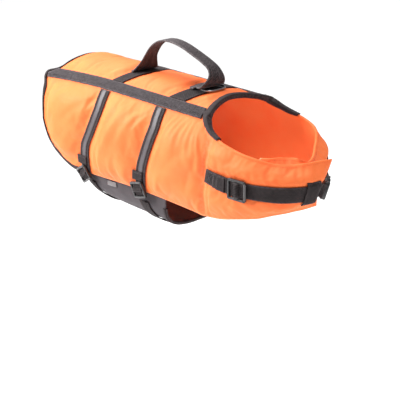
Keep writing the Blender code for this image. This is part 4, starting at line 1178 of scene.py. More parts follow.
@dataclass
class ShellPanels:
    """The orange foam panels: the back, and each flank with its chest float."""

    back: WornBack
    sides: dict[Hand, WornSide]
    chest_line: Curve
    sewing: "Sewing"
    seam_gap: float = 0.4
    grid: float = 3.7
    pressed: float = 1.6
    strap_half: float = 13.0
    pull: float = 1.6
    billow: float = 4.5

    def places(self, side: WornSide) -> tuple[Array, Array]:
        """Runs and heights of a flank's places, with one column along the float's seam."""
        rows, before = round(178 / self.grid), round(446 / self.grid)
        after = round((side.float_end(-90.0) - 235) / self.grid)
        share = np.linspace(0, 1, rows)[:, None]
        part = np.concatenate([np.linspace(0, 1, before), np.linspace(1, 2, after)[1:]])[None, :]
        z = np.broadcast_to(between(-10.0, -175.0, share), (rows, before + after - 1))
        for _ in range(5):
            seam = side.seam_run(z)
            chest = between(seam, side.float_end(z), part - 1)
            run = np.where(part < 1, between(side.runs[0], seam, part), chest)
            z = between(side.top_edge(run), side.low_edge(run), share)
        return run, z

    def flank(self, side: WornSide) -> Panel:
        """One flank from the rear edge to the end of its chest float."""
        run, z = self.places(side)
        top, low, seam, end = side.top_edge(run), side.low_edge(run), side.seam_run(z), side.float_end(z)
        taped = between(6.0, 1.0, ramp(run - side.neck_tape_end + 10, 20))
        open_cloth = ramp(top - z - taped, 10) * ramp(z - low - 2.5, 8) * ramp(run - side.runs[0] - 8, 8)
        open_cloth = open_cloth * ramp(end - run - 2.5, 8) * ramp(abs(run - seam), 6)
        seams = [(z, abs(run - seam)), (run, top - z - taped), (run, z - low), (z, end - run)]
        full = self.billow * ramp(top - z - taped, 42) * ramp(z - low - 3, 42)
        full = full * ramp(run - side.runs[0] - 10, 55)
        full = full * between(0.35, 1.0, ramp(abs(run - seam), 30)) * ramp(end - run - 3, 40)
        for strap in STRAPS:
            distance = abs(run - strap.run(z))
            open_cloth = open_cloth * ramp(distance - self.strap_half, 6)
            full = full * ramp(distance - self.strap_half, 58)
            seams.append((z, distance - 12.5))
        to_strap = abs(z - self.chest_line.at(run))
        under = (1 - ramp(to_strap - 9, 12)) * ramp(run - 236, 8)
        seams.append((run, np.where(run > 240, to_strap - 12.5, 99.0)))
        sink = self.pull * folded(PULL_FOLDS, run, z)
        for n, (along, distance) in enumerate(seams):
            sink = sink + puckers(along, distance, 11.0 + 1.3 * n, 1.3 * n + side.side)
        sink = (sink - full) * open_cloth * (1 - 0.8 * under) + self.pressed * under * open_cloth
        sink = sink + 1.2 * bump(run - seam, 2.4) - 0.8 * bump(seam - run - 9, 6) * ramp(top - z - 8, 12)
        outer = side.outer(run, z) - side.normal(run, z) * sink[..., None]
        inner = side.inner(run, z)
        mitred = side.base(run[0], z[0]) + self.back.seam_inward(run[0], side.hand)
        inner[0] = between(mitred, inner[0], ramp(run[0] - side.neck_start, 12)[:, None])
        sewn = ((open_cloth < 0.35) | (under > 0.5)).astype(float)
        rubbed_and_lit = np.maximum(bump(z - low, 3.5), bump(end - run, 3.5)) + 0.4 * bump(abs(run - seam) - 4, 3)
        nodes = (f"side_panel_{side.hand.word}", f"chest_float_{side.hand.word}")
        name = f"side_and_float_{side.hand.word}_cloth"
        return Panel(name, nodes, outer, inner, sewn, np.clip(rubbed_and_lit, 0, 1), side.hand is Hand.LEFT)

    def back_panel(self) -> Panel:
        """The panel between the spine webbings, stitched down under the cross straps."""
        back = self.back
        rows, columns = round(150 / self.grid), round(400 / self.grid)
        share = np.broadcast_to(np.linspace(-1, 1, rows)[:, None], (rows, columns))
        part = np.linspace(0, 1, columns)[None, :]
        rear, front = back.tail_x(share), back.neck_x(share)
        x = between(rear, front, part)
        y = share * (back.seam_half(x) - self.seam_gap)
        to_seam = back.seam_half(x) - abs(y) - 14
        open_cloth = ramp(to_seam, 8) * ramp(x - rear - 3, 8) * ramp(front - x - 8, 8)
        seams = [(x, to_seam)]
        for strap in STRAPS:
            distance = abs(x - strap.cross_x(share)) - strap.back_width / 2
            open_cloth = open_cloth * ramp(distance, 6)
            seams.append((y, distance))
        ring = ramp(np.hypot((x - 148) / 20, y / 30) - 1, 0.5)
        pulls = folded(BACK_FOLDS, x, y)
        for n, (along, distance) in enumerate(seams):
            pulls = pulls + puckers(along, distance, 12.0, 2.1 * n, 0.6)
        outer, inner = back.point(x, y), back.point(x, y, -back.side.foam_edge, puffed=False)
        outer[..., 2] -= pulls * open_cloth * ring
        for row, hand in ((0, Hand.RIGHT), (-1, Hand.LEFT)):
            inner[row] = back.point(x[row], y[row]) + back.seam_inward(x[row], hand)
        sewn = ((open_cloth < 0.35) | (ring < 0.5)).astype(float)
        rubbed_and_lit = 0.5 * bump(x - rear - 3, 4)
        return Panel("back_panel_cloth", ("back_panel",), outer, inner, sewn, rubbed_and_lit, True, swell=3.0)

    def hem_stitches(self, side: WornSide) -> None:
        """Sew the shell's own rows along one flank's hem and round its chest float."""
        seam = float(side.seam_run(-165.0))
        high_end, low_end = (float(side.float_end(z)) for z in (-58.0, -140.0))
        rows = (
            (CORNER_END_X + 8, seam - 3, 120, side.low_edge, 4.0),
            (seam + 3, low_end - 5, 80, side.low_edge, 4.0),
            (side.neck_tape_end + 4, high_end - 5, 70, side.top_edge, -4.0))
        for start, stop, count, edge, inset in rows:
            run = np.linspace(start, stop, count)
            self.sewing.sew(side.line(run, edge(run) + inset), Thread.ORANGE)
        z = np.linspace(-66.0, -125.0, 30)
        self.sewing.sew(side.line(side.float_end(z) - 4.0, z), Thread.ORANGE)

    def build(self, material: Material) -> None:
        """Make all three padded pieces and the shell's own stitches."""
        self.back_panel().finish(material)
        for side in self.sides.values():
            self.flank(side).finish(material)
            self.hem_stitches(side)


# ---- stitches
class Thread(Enum):
    """The thread of a row of stitches."""

    GREY = "grey"
    ORANGE = "orange"


@dataclass
class Sewing:
    """Every row of stitches, laid along lines on the cloth by Geometry Nodes."""

    pitch: float = 3.4
    length: float = 2.5
    width: float = 0.8
    sway: float = 0.1
    seed: int = 7
    rise: float = 0.12
    rows: dict[Thread, list[Path]] = field(default_factory=lambda: {thread: [] for thread in Thread})

    def sew(self, path: Path, thread: Thread = Thread.GREY) -> None:
        """Add one row of stitches along a line."""
        self.rows[thread].append(path)

    def edges(self, band: Band, inset: float, start: int = 0, end: int | None = None) -> None:
        """Sew both long edges of a band, from one of its rows to another."""
        for last in (False, True):
            self.sew(band.line(inset, last).part(start, end or len(band.under)))

    def cross_box(self, band: Band, start: float, end: float, inset: float = 3.0) -> None:
        """Sew a box with a cross in it over part of a band.

        Args:
            band: The webbing.
            start: Share of its length where the box starts.
            end: Share of its length where the box ends.
            inset: Distance of the box from the edges.
        """
        first, last = (int(round(share * (len(band.under) - 1))) for share in (start, end))
        low, high = (band.line(inset, far).part(first, last + 1) for far in (False, True))
        share = np.linspace(0, 1, last - first + 1)[:, None]
        steps = np.linspace(0, 1, 9)[:, None]
        ends = [low.part(*row).to(high.part(*row), steps) for row in ((0, 1), (-1, None))]
        for path in (low, high, low.to(high, share), high.to(low, share), *ends):
            self.sew(path)

    def guides(self, thread: Thread) -> Object:
        """Make the lines that the stitches follow, with the outward direction at each point."""
        points, edges, base = [], [], 0
        for path in self.rows[thread]:
            points.append(path.points + path.outward * self.rise)
            edges += [(base + n, base + n + 1) for n in range(len(path.points) - 1)]
            base += len(path.points)
        name = f"stitches_{thread.value}"
        mesh = bpy.data.meshes.new(name)
        mesh.from_pydata((np.concatenate(points) * MM).tolist(), edges, [])
        layer = mesh.attributes.new("outward", "FLOAT_VECTOR", "POINT")
        outward = np.concatenate([path.outward for path in self.rows[thread]])
        layer.data.foreach_set("vector", outward.astype(np.float32).ravel())
        return linked(name, mesh)

    def tree(self) -> Tree:
        """Make the node tree that lays stitches along lines, its inputs named for their sizes."""
        tree = bpy.data.node_groups.new("rows_of_stitches", "GeometryNodeTree")
        tree.interface.new_socket("Stitches", in_out="OUTPUT", socket_type="NodeSocketGeometry")
        kinds = {"Lines": "Geometry", "Pitch": "Float", "Length": "Float", "Width": "Float", "Sway": "Float",
                 "Seed": "Int", "Thread": "Material"}
        for name, kind in kinds.items():
            tree.interface.new_socket(name, in_out="INPUT", socket_type="NodeSocket" + kind)
        add = partial(add_node, tree)
        sizes = add("NodeGroupInput").outputs
        curve = add("GeometryNodeMeshToCurve", {"Mesh": sizes["Lines"]}).outputs[0]
        spaced = {"Curve": curve, "Length": sizes["Pitch"]}
        even = add("GeometryNodeResampleCurve", spaced, mode="LENGTH")
        bead = add("GeometryNodeMeshIcoSphere", {"Radius": 0.5, "Subdivisions": 1})
        flat = add("ShaderNodeMath", {0: sizes["Width"], 1: 0.7}, operation="MULTIPLY").outputs[0]
        size = add("ShaderNodeCombineXYZ", {"X": sizes["Length"], "Y": sizes["Width"], "Z": flat})
        stitch = add("GeometryNodeTransform", {"Geometry": bead.outputs[0], "Scale": size.outputs[0]})
        outward = add("GeometryNodeInputNamedAttribute", {"Name": "outward"}, data_type="FLOAT_VECTOR")
        upright = add("FunctionNodeAlignRotationToVector", {"Vector": outward.outputs[0]}, axis="Z")
        lined = add("FunctionNodeAlignRotationToVector", {
            "Rotation": upright.outputs[0], "Vector": add("GeometryNodeInputTangent").outputs[0],
        }, axis="X", pivot_axis="Z")
        least = add("ShaderNodeMath", {0: sizes["Sway"], 1: -1.0}, operation="MULTIPLY").outputs[0]
        turn = add("FunctionNodeRandomValue", {2: least, 3: sizes["Sway"], "Seed": sizes["Seed"]})
        angle = add("ShaderNodeCombineXYZ", {"Z": turn.outputs[1]})
        swayed = add("FunctionNodeRotateRotation", {
            "Rotation": lined.outputs[0], "Rotate By": angle.outputs[0]}, rotation_space="LOCAL")
        laid = add("GeometryNodeInstanceOnPoints", {
            "Points": even.outputs[0], "Instance": stitch.outputs[0], "Rotation": swayed.outputs[0]})
        real = add("GeometryNodeRealizeInstances", {"Geometry": laid.outputs[0]}).outputs[0]
        smooth = add("GeometryNodeSetShadeSmooth", {"Geometry": real}).outputs[0]
        dyed = add("GeometryNodeSetMaterial", {"Geometry": smooth, "Material": sizes["Thread"]})
        add("NodeGroupOutput", {0: dyed.outputs[0]})
        return tree

    def build(self, materials: dict[Thread, Material]) -> None:
        """Lay every row in its thread's material and turn the result into plain meshes."""
        tree = self.tree()
        sockets = {item.name: item.identifier for item in tree.interface.items_tree if item.in_out == "INPUT"}
        sizes = {
            "Pitch": self.pitch * MM, "Length": self.length * MM, "Width": self.width * MM, "Sway": self.sway}
        for thread, slot in ((Thread.GREY, "webbing"), (Thread.ORANGE, "shell_cloth")):
            item = self.guides(thread)
            laid = item.modifiers.new("stitches", "NODES")
            laid.node_group = tree
            for name, value in {**sizes, "Seed": self.seed, "Thread": materials[thread]}.items():
                laid[sockets[name]] = value
            dress(baked(item), materials[thread], slot)


# ---- webbing on the back and flanks
@dataclass(frozen=True)
class WebbingColumn:
    """A line along a spine webbing: how far inside or below the seam it lies, and its ends."""

    inside: float
    below: float
    rear_x: float
    front_x: float


WEBBING_COLUMNS = [WebbingColumn(*row) for row in (
    (14.5, 0, -193, 194), (7.5, 0, -199, 197.5), (-0.6, 0, -206, 201), (0, 3.2, -206.5, 201.5),
    (0, 6.6, -206.5, 201.5),
)]


@dataclass
class BackWebbing:
    """Webbing over the two long seams and across the back."""

    back: WornBack
    sides: dict[Hand, WornSide]
    sewing: Sewing
    lift: float = 0.7
    thickness: float = 1.8
    seam_inset: float = 2.3

    def spine(self, hand: Hand) -> Band:
        """The webbing over the seam between the back panel and one flank."""
        share, lines = np.linspace(0, 1, 150), []
        for column in WEBBING_COLUMNS:
            x = between(column.rear_x, column.front_x, share)
            half, top = self.back.seam_half(x), self.back.seam_z(x)
            if column.below:
                lines.append(self.sides[hand].outer(x, top - column.below, self.lift))
            elif column.inside > 0:
                lines.append(self.back.point(x, hand.value * (half - column.inside), self.lift))
            else:
                lines.append(stack(x, hand.value * (half - column.inside), top + self.lift + 0.3))
        across = smooth_through(np.array(lines), 13)
        across[..., 2] += 0.25 * ripple(across[0, :, 0], 31.0, hand.value) * np.linspace(0.2, 1.0, 13)[:, None]
        return Band(across.transpose(1, 0, 2), (0.0, 0.0, -120.0), self.thickness)

    def cross(self, strap: Strap) -> Band:
        """The webbing across the back between the spine webbings."""
        half = float(self.back.seam_half(strap.back_side_x))
        y = np.linspace(15.5 - half, half - 15.5, 50)[:, None]
        step = np.linspace(-strap.back_width / 2, strap.back_width / 2, 9)[None, :]
        under = self.back.point(strap.cross_x(y / half) + step, y, self.lift)
        return Band(under, (0.0, 0.0, -120.0), self.thickness)

    def build(self, webbing: Material, dark: Material) -> None:
        """Make the four pieces and their stitches, those across the back of the darker webbing as painted shade."""
        bands = {f"spine_webbing_{hand.word}": self.spine(hand) for hand in Hand}
        bands |= {f"cross_strap_{strap.name}": self.cross(strap) for strap in STRAPS}
        for node, band in bands.items():
            # the cross straps take the darker webbing as painted shade
            band.laid(node, dark if "cross" in node else webbing)
            self.sewing.edges(band, self.seam_inset)


# ---- moulded fastenings
def surface_frame(point: Array, outward: Array, along: Array) -> Matrix:
    """A matrix in metres with Z outward and Y along the strap.

    Args:
        point: Its origin in millimetres.
        outward: Direction out of the cloth.
        along: Direction along the strap.

    Returns:
        The matrix.
    """
    z_axis = Vector(outward).normalized()
    x_axis = Vector(along).cross(z_axis).normalized()
    turn = Matrix((x_axis, z_axis.cross(x_axis), z_axis)).transposed().to_4x4()
    return Matrix.Translation(Vector(point) * MM) @ turn


def rounded_outline(width: float, length: float, radius: float, center_y: float = 0.0) -> Outline:
    """A rectangle with round corners.

    Args:
        width: Its size along X.
        length: Its size along Y.
        radius: Radius of its corners.
        center_y: Y of its middle.

    Returns:
        Its corners in order.
    """
    outline = []
    for start, sx, sy in ((0, 1, 1), (90, -1, 1), (180, -1, -1), (270, 1, -1)):
        for angle in np.radians(np.linspace(start, start + 90, 6)):
            x = sx * (width / 2 - radius) + radius * math.cos(angle)
            outline.append((x, center_y + sy * (length / 2 - radius) + radius * math.sin(angle)))
    return outline


def curved_wire(name: str, routes: list[Outline], radius: float, extrude: float = 0.0) -> Object:
    """Closed lines filled as a flat plate, or swept as a round wire where there is no extrusion.

    Args:
        name: Name of the piece.
        routes: Closed lines in millimetres; in a plate the outer one first, then each window.
        radius: Radius of the wire or of the plate's softened edges.
        extrude: Half the plate's thickness, 0 for a wire.

    Returns:
        A plain, smooth mesh object.
    """
    curve = bpy.data.curves.new(name, "CURVE")
    curve.bevel_depth, curve.bevel_resolution = radius * MM, 3
    curve.dimensions = "2D" if extrude else "3D"
    if extrude:
        curve.fill_mode, curve.extrude, curve.offset = "BOTH", (extrude - radius) * MM, -radius * MM
    for route in routes:
        spline = curve.splines.new("POLY")
        spline.points.add(len(route) - 1)
        for point, place in zip(spline.points, route):
            point.co = (*(value * MM for value in (*place, 0.0)[:3]), 1.0)
        spline.use_cyclic_u = True
    return baked(linked(name, curve))


def rounded_bar(start: Spot, end: Spot, radius: float, flatten: float = 1.0, rubbed_and_lit: float = 0.0) -> Object:
    """A straight bar with domed ends.

    Args:
        start: One end's middle in millimetres.
        end: The other end's middle.
        radius: Its radius across.
        flatten: Its height as a share of its width.
        rubbed_and_lit: How scuffed it is, together with its painted highlight.

    Returns:
        A plain mesh object.
    """
    a, b = np.array(start, float), np.array(end, float)
    along, up = unit(b - a), np.array([0.0, 0.0, 1.0])
    across = unit(np.cross(up, along))
    stations = [(0.0, 0.35), (0.12, 0.8), (0.35, 0.96), (0.8, 1.0)]
    stops = [(a + along * radius * d, s) for d, s in stations]
    stops += [(b - along * radius * d, s) for d, s in reversed(stations)]
    turn = np.linspace(0, 2 * math.pi, 15)[:-1, None]
    around = np.cos(turn) * across + flatten * np.sin(turn) * up
    rings = np.array([point + radius * size * around for point, size in stops])
    return loft("bar", rings, rubbed_and_lit=np.full(rings.shape[:2], rubbed_and_lit))


@dataclass
class LadderLocks:
    """Plastic strap adjusters: a frame with two windows, and the webbing looped over its middle bar."""

    width: float = 35.0
    window_width: float = 26.5
    bar: float = 4.0
    thick: float = 4.0
    edge: float = 0.9
    loop_width: float = 26.0
    loop_thick: float = 1.6

    def plate(self, name: str, length: float) -> Object:
        """The moulded frame, at the origin, with its raised bars and grips."""
        window = (length - 3 * self.bar) / 2
        outlines = [rounded_outline(self.width, length, 4.0)]
        for place in (-1, 1):
            middle = place * (window + self.bar) / 2
            outlines.append(rounded_outline(self.window_width, window, 1.2, middle)[::-1])
        reach, end, rail = self.width / 2 - 3.5, length / 2 - self.bar / 2, self.width / 2 - 2.1
        # the last number of each bar paints it paler, a painted highlight together with scuffing: strongest on the
        # top bar and its grips, less on the bottom bar and rails
        bars = [
            ((-reach, end + 0.3, 0.9), (reach, end + 0.3, 0.9), 2.1, 0.9, 0.9),
            ((-reach, -end, 0.5), (reach, -end, 0.5), 1.9, 0.9, 0.4),
            ((-reach, 0, 0.2), (reach, 0, 0.2), 1.9, 0.8)]
        bars += [((x, -end + 1, 0.5), (x, end - 1, 0.5), 1.9, 0.95, 0.2) for x in (-rail, rail)]
        grips = [(n - 2) * 4.6 for n in range(5)]
        bars += [((x, end - 1.3, 2.4), (x, end + 1.9, 2.4), 0.7, 0.8, 1.0) for x in grips]
        plate = curved_wire(name, outlines, self.edge, self.thick / 2)
        return merged([plate] + [rounded_bar(*bar) for bar in bars])

    def loop(self, name: str, length: float) -> Object:
        """The webbing that rises through one window, over the middle bar and down the other."""
        far = self.bar / 2 + (length - 3 * self.bar) / 2 * 0.96
        half = self.bar / 2
        rise = [(-far, -2.3), (-half - 2.4, -1.2), (-half - 0.6, 1.5)]
        line = smooth_through(np.array(rise + [(0, 2.4)] + [(-y, z) for y, z in reversed(rise)]), 30)
        x = np.linspace(-self.loop_width / 2, self.loop_width / 2, 7)[None, :]
        return Band(stack(x, line[:, :1], line[:, 1:2]), (0.0, 0.0, -30.0), self.loop_thick).build(name)

    def add(self, node: str, place: Matrix, length: float, plastic: Material, webbing: Material) -> None:
        """Make one adjuster and its loop of webbing.

        Args:
            node: The node that it stands for.
            place: Where it sits, in metres.
            length: Its length along the strap.
            plastic: Its material.
            webbing: The webbing.
        """
        plate, loop = self.plate(node + "_plate", length), self.loop(node + "_loop", length)
        for item in (plate, loop):
            item.data.transform(place)
        dress(plate, plastic, "plastic", node)
        dress(loop, webbing, "webbing")


@dataclass
class GirthStraps:
    """The straps down the flanks with their stripes, tails and adjusters, and the belly straps."""

    sides: dict[Hand, WornSide]
    belly: WornBelly
    sewing: Sewing
    locks: LadderLocks
    webbing: Material
    reflective: Material
    plastic: Material
    lift: float = 0.7
    width: float = 25.0
    thickness: float = 1.8
    stripe_width: float = 11.0
    stripe_thick: float = 0.45
    tail_length: float = 17.0
    tail_shift: float = -6.0
    lock_length: float = 31.0
    lock_seat: float = 2.8
    belly_turn: float = 0.88

    def strip(self, side: WornSide, strap: Strap, ends: Pair, width: float, lift: float, shift: float = 0.0) -> Band:
        """A band lying along a girth strap's line.

        Args:
            side: The flank.
            strap: The strap.
            ends: Heights of its upper and lower end.
            width: Its width.
            lift: Its underside above the flank's outer face.
            shift: Distance forward of the strap's middle.

        Returns:
            The band.
        """
        z = np.linspace(*ends, max(int((ends[0] - ends[1]) / 1.8), 6))[:, None]
        step = np.linspace(-width / 2, width / 2, 9)[None, :]
        return Band(side.outer(strap.run(z) + step + shift, z, lift), (0.0, 0.0, -100.0), self.thickness)

    def lock_frame(self, side: WornSide, strap: Strap) -> Matrix:
        """Where the adjuster sits at the low end of a girth strap, Y up along the strap."""
        center = strap.low_z - 6.5
        run = float(strap.run(center)) - 4
        edge = float(side.low_edge(run)) + 2
        point = side.base(run, max(center, edge))
        point[2] = center
        along = unit(np.array([strap.lock_lean, side.side * 5.0, 28.0]))
        outward = side.normal(run, edge)
        outward = unit(outward - along * outward.dot(along))
        seat = self.lift + self.thickness + self.lock_seat - 0.7 - 0.08 * strap.lock_lean
        return surface_frame(point + outward * seat, outward, along)

    def belly_strap(self, strap: Strap) -> Band:
        """The webbing under the belly from one adjuster to the other."""
        turn = np.linspace(-self.belly_turn, self.belly_turn, 120)[:, None]
        step = np.linspace(-self.width / 2, self.width / 2, 9)[None, :]
        middle = between(strap.belly_low_x, strap.belly_hem_x, ramp(np.abs(turn) - 0.25, 0.7))
        return Band(self.belly.point(middle + step, turn, self.lift), (0.0, 0.0, -150.0), self.thickness)

    def flank_strap(self, side: WornSide, strap: Strap) -> None:
        """Make one girth strap, its stripe, its tail and its adjuster."""
        ending = f"{strap.name}_{side.hand.word}"
        top = float(side.top_edge(strap.run(-20.0))) - 7.4
        main = self.strip(side, strap, (top, strap.low_z - 19), self.width, self.lift)
        over = self.lift + self.thickness
        stripe = self.strip(side, strap, (top - 0.4, strap.stripe_low_z), self.stripe_width, over + 0.05)
        stripe.thickness = self.stripe_thick
        ends = (strap.tail_z + self.tail_length, strap.tail_z)
        tail = self.strip(side, strap, ends, self.width, over + 0.7, self.tail_shift)
        main.laid(f"girth_strap_{ending}", self.webbing)
        tail.laid(f"strap_tail_{ending}", self.webbing)
        dress(stripe.build(f"reflective_stripe_{ending}"), self.reflective, "webbing")
        self.sewing.edges(main, 2.4, 0, int(len(main.under) * 0.8))
        self.sewing.edges(stripe, 1.3)
        self.sewing.sew(tail.cross_line(3.0))
        self.locks.add(
            f"adjuster_{ending}", self.lock_frame(side, strap), self.lock_length, self.plastic, self.webbing)

    def build(self) -> None:
        """Make every strap and what lies on it."""
        for strap in STRAPS:
            self.belly_strap(strap).laid(f"belly_strap_{strap.name}", self.webbing)
            for side in self.sides.values():
                self.flank_strap(side, strap)


# ---- edge tape
@dataclass
class Binding:
    """Tape folded over an edge."""

    places: Array
    depth: float
    phase: float
    thickness: float = 1.2
    corner: float = 1.9
    most_inside: float = 5.0
    fineness: int = 4

    def __post_init__(self) -> None:
        """Smooth the places, let the tape waver a little and find the direction off the edge."""
        rows = smooth_through(self.places, self.fineness * len(self.places))
        self.points, self.normals = rows[:, :3], unit(rows[:, 3:6])
        self.run = travelled(self.points)
        self.reach = rows[:, 6] + 0.35 * ripple(self.run, 23.0, self.phase)
        self.gap = rows[:, 7] + 0.12 * ripple(self.run, 37.0, self.phase + 1)
        off = unit(np.cross(np.gradient(self.points, axis=0), self.normals))
        away = ((self.points - JACKET_MIDDLE) * off).sum(axis=1, keepdims=True)
        self.off = np.where(away < 0, -off, off)

    def build(self, name: str) -> Object:
        """Make the folded tape's mesh."""
        top, low = self.gap + self.thickness, -self.depth - self.gap - self.thickness
        inside = np.minimum(self.reach, self.most_inside)
        bend = np.linspace(0, math.pi / 2, 5)
        drop, grow = self.corner * (1 - np.cos(bend)), self.corner * (1 - np.sin(bend))
        section = [(top, -self.reach)] + [(top - d, top - g) for d, g in zip(drop, grow)]
        section += [(low + g, top - d) for d, g in zip(drop, grow)]
        section += [(low, -inside), (low + self.thickness, -inside), (low + self.thickness, self.gap)]
        section += [(self.gap, self.gap), (self.gap, -self.reach)]
        rings = np.stack([
            self.points + self.normals * up[:, None] + self.off * out[:, None] for up, out in section], axis=1)
        uv = stack(summed(steps_along(rings, 1).mean(axis=0))[None, :], self.run[:, None]) * MM
        rubbed_and_lit = np.zeros(len(section))
        rubbed_and_lit[[0, 1, 4, 5, 6, 7]] = 0.5, 0.1, 0.6, 1.0, 0.8, 0.4
        middle = len(rings) // 2
        spin = np.cross(rings[middle, 1] - rings[middle, 0], rings[middle + 1, 0] - rings[middle, 0])
        flip = bool(np.dot(spin, self.normals[middle]) < 0)
        return loft(name, rings, uv, flip, np.broadcast_to(rubbed_and_lit, rings.shape[:2]))

    def seam(self, inset: float = 1.6) -> Path:
        """The line of stitches that holds the tape."""
        line = self.points + self.normals * (self.gap + self.thickness)[:, None]
        return Path(line - self.off * np.maximum(self.reach - inset, 0.5)[:, None], self.normals)


def edge_places(points: Array, normals: Array, reach: Number, gap: Number) -> Array:
    """Rows of a binding's places."""
    columns = [np.broadcast_to(np.asarray(value, float), (len(points),))[:, None] for value in (reach, gap)]
    return np.concatenate([points, normals, *columns], axis=1)


@dataclass
class EdgeTapes:
    """The tape round the rear edges and the neck, each one length from one flank to the other."""

    back: WornBack
    sides: dict[Hand, WornSide]
    sewing: Sewing
    gap: float = 0.6
    corner_gap: float = 2.2
    rear_end: float = -94.0
    rear_reach: Curve = field(default_factory=lambda: Curve(
        [-186, -160, -135, -100, -62, -38, -27, -17], [8, 7, 3.5, 2.5, 3.5, 8, 3.5, 3]))
    side_reach: Curve = field(default_factory=lambda: Curve([212, 235, 258], [7.5, 5.5, 2]))
    neck_reach: Curve = field(default_factory=lambda: Curve([0, 0.6, 1], [8, 9, 10]))

    def wider(self, distance: Number) -> Array:
        """The tape's gap at a distance from the seam of back and flank."""
        return between(self.corner_gap, self.gap, ramp(np.asarray(distance) - 4, 14))

    def across(self, front: bool) -> Array:
        """Places over the back's front or rear edge, from right to left."""
        share = np.linspace(-0.96, 0.96, 17)
        x = self.back.neck_x(share) if front else self.back.tail_x(share)
        y = share * self.back.seam_half(x)
        points = self.back.point(x, y, puffed=False)
        normals = self.back.point(x, y, 1.0, puffed=False) - points
        reach = self.neck_reach.at(abs(share)) if front else 3.0
        return edge_places(points, normals, reach, self.wider((1 - abs(share)) * self.back.half))

    def down_rear(self, side: WornSide) -> Array:
        """Places down one flank's rear edge and round its cut corner."""
        top, low = float(side.top_edge(side.runs[0])), float(side.low_edge(side.runs[0]))
        share = np.array([0.07, 0.13, 0.21, 0.3, 0.4, 0.5, 0.6, 0.7, 0.8, 0.88, 0.95, 1.0])
        along = between(side.runs[0], self.rear_end, np.linspace(0, 1, 16)[1:] ** 1.3)
        run = np.concatenate([np.full(len(share), side.runs[0]), along])
        z = np.concatenate([between(top, low, share), side.low_edge(along)])
        return edge_places(side.base(run, z), side.normal(run, z), self.rear_reach.at(z), self.wider(top - z))

    def up_neck(self, side: WornSide) -> Array:
        """Places along one flank's neck edge, up to the back."""
        run = np.linspace(side.neck_tape_end, side.neck_start + 2, 8)
        z = side.top_edge(run)
        gap = self.wider(run - side.neck_start)
        return edge_places(side.base(run, z), side.normal(run, z), self.side_reach.at(run), gap)

    def build(self, material: Material) -> None:
        """Make both tapes and their stitches."""
        left, right = self.sides[Hand.LEFT], self.sides[Hand.RIGHT]
        neck = [self.up_neck(right), self.across(True), self.up_neck(left)[::-1]]
        rear = [self.down_rear(left)[::-1], self.across(False)[::-1], self.down_rear(right)]
        for node, rows in (("neck_binding", neck), ("rear_binding", rear)):
            tape = Binding(np.concatenate(rows), left.foam_edge, len(rows[0]))
            dress(tape.build(node + "_tape"), material, "edge_tape", node)
            self.sewing.sew(tape.seam())


# ---- belly flap and label
@dataclass
class BellyPanel:
    """The single cloth under the belly, its bound ends and the blank tag at the hem."""

    belly: WornBelly
    sewing: Sewing
    thickness: float = 1.6
    tuck: float = 18.0
    hem_turn: float = 0.97
    tape_gaps: Pair = (1.1, 0.7)
    tape_reach: float = 5.0
    flat: Pair = (0.335, 0.262)

    def flap(self) -> Band:
        """The flap as worn, with its slack."""
        share = np.linspace(0, 1, 96) ** 1.15
        hem_x = between(self.belly.rear_hem_x, self.belly.front_hem_x, share)
        rises = self.tuck * np.array([1.0, 0.6, 0.3])
        lines = [self.belly.tucked(Hand.RIGHT, hem_x, rise, -2.0) for rise in rises]
        for turn in np.linspace(-self.hem_turn, self.hem_turn, 87):
            x = between(self.belly.end_x(turn, False), self.belly.end_x(turn, True), share)
            edge = ramp(x - x[0] - 7, 12) * ramp(x[-1] - x - 7, 12) * ramp(0.9 - abs(turn), 0.2)
            sink = folded(BELLY_FOLDS, x, np.full(x.shape, 100 * turn)) * edge
            lines.append(self.belly.point(x, turn, -2.0 - sink))
        lines += [self.belly.tucked(Hand.LEFT, hem_x, rise, -2.0) for rise in rises[::-1]]
        return Band(np.array(lines).transpose(1, 0, 2), (0.0, 0.0, -150.0), self.thickness)

    def tape(self, front: bool) -> Binding:
        """The tape over the flap's front or rear edge."""
        turns = np.linspace(-0.88, 0.88, 30)
        x = self.belly.end_x(turns, front)
        rows = edge_places(
            self.belly.point(x, turns), self.belly.outward(x, turns), self.tape_reach, self.tape_gaps[front])
        return Binding(rows, 2.0, 2.0 + front)

    def label(self) -> Band:
        """The blank woven tag that hangs below the right hem."""
        turns = np.linspace(-0.985, -0.93, 10)[:, None]
        x = np.linspace(-34, -8, 12)[None, :]
        curl = 0.5 * np.sin((x + 34) / 26 * math.pi)
        return Band(self.belly.point(x, turns, 0.7 + curl + 0 * turns), (0.0, 0.0, -150.0), 0.8)

    def build(self, cloth: Material, tape: Material, satin: Material) -> None:
        """Make the flap, its bindings and its tag of satin."""
        flap = dress(self.flap().build("belly_flap_cloth"), cloth, "belly_cloth", "belly_flap")
        others = [dress(self.label().build("blank_label_tag"), satin, "label_cloth", "blank_label")]
        for word, front in (("rear", False), ("front", True)):
            binding = self.tape(front)
            node = f"flap_binding_{word}"
            others.append(dress(binding.build(node + "_tape"), tape, "edge_tape", node))
            self.sewing.sew(binding.seam())


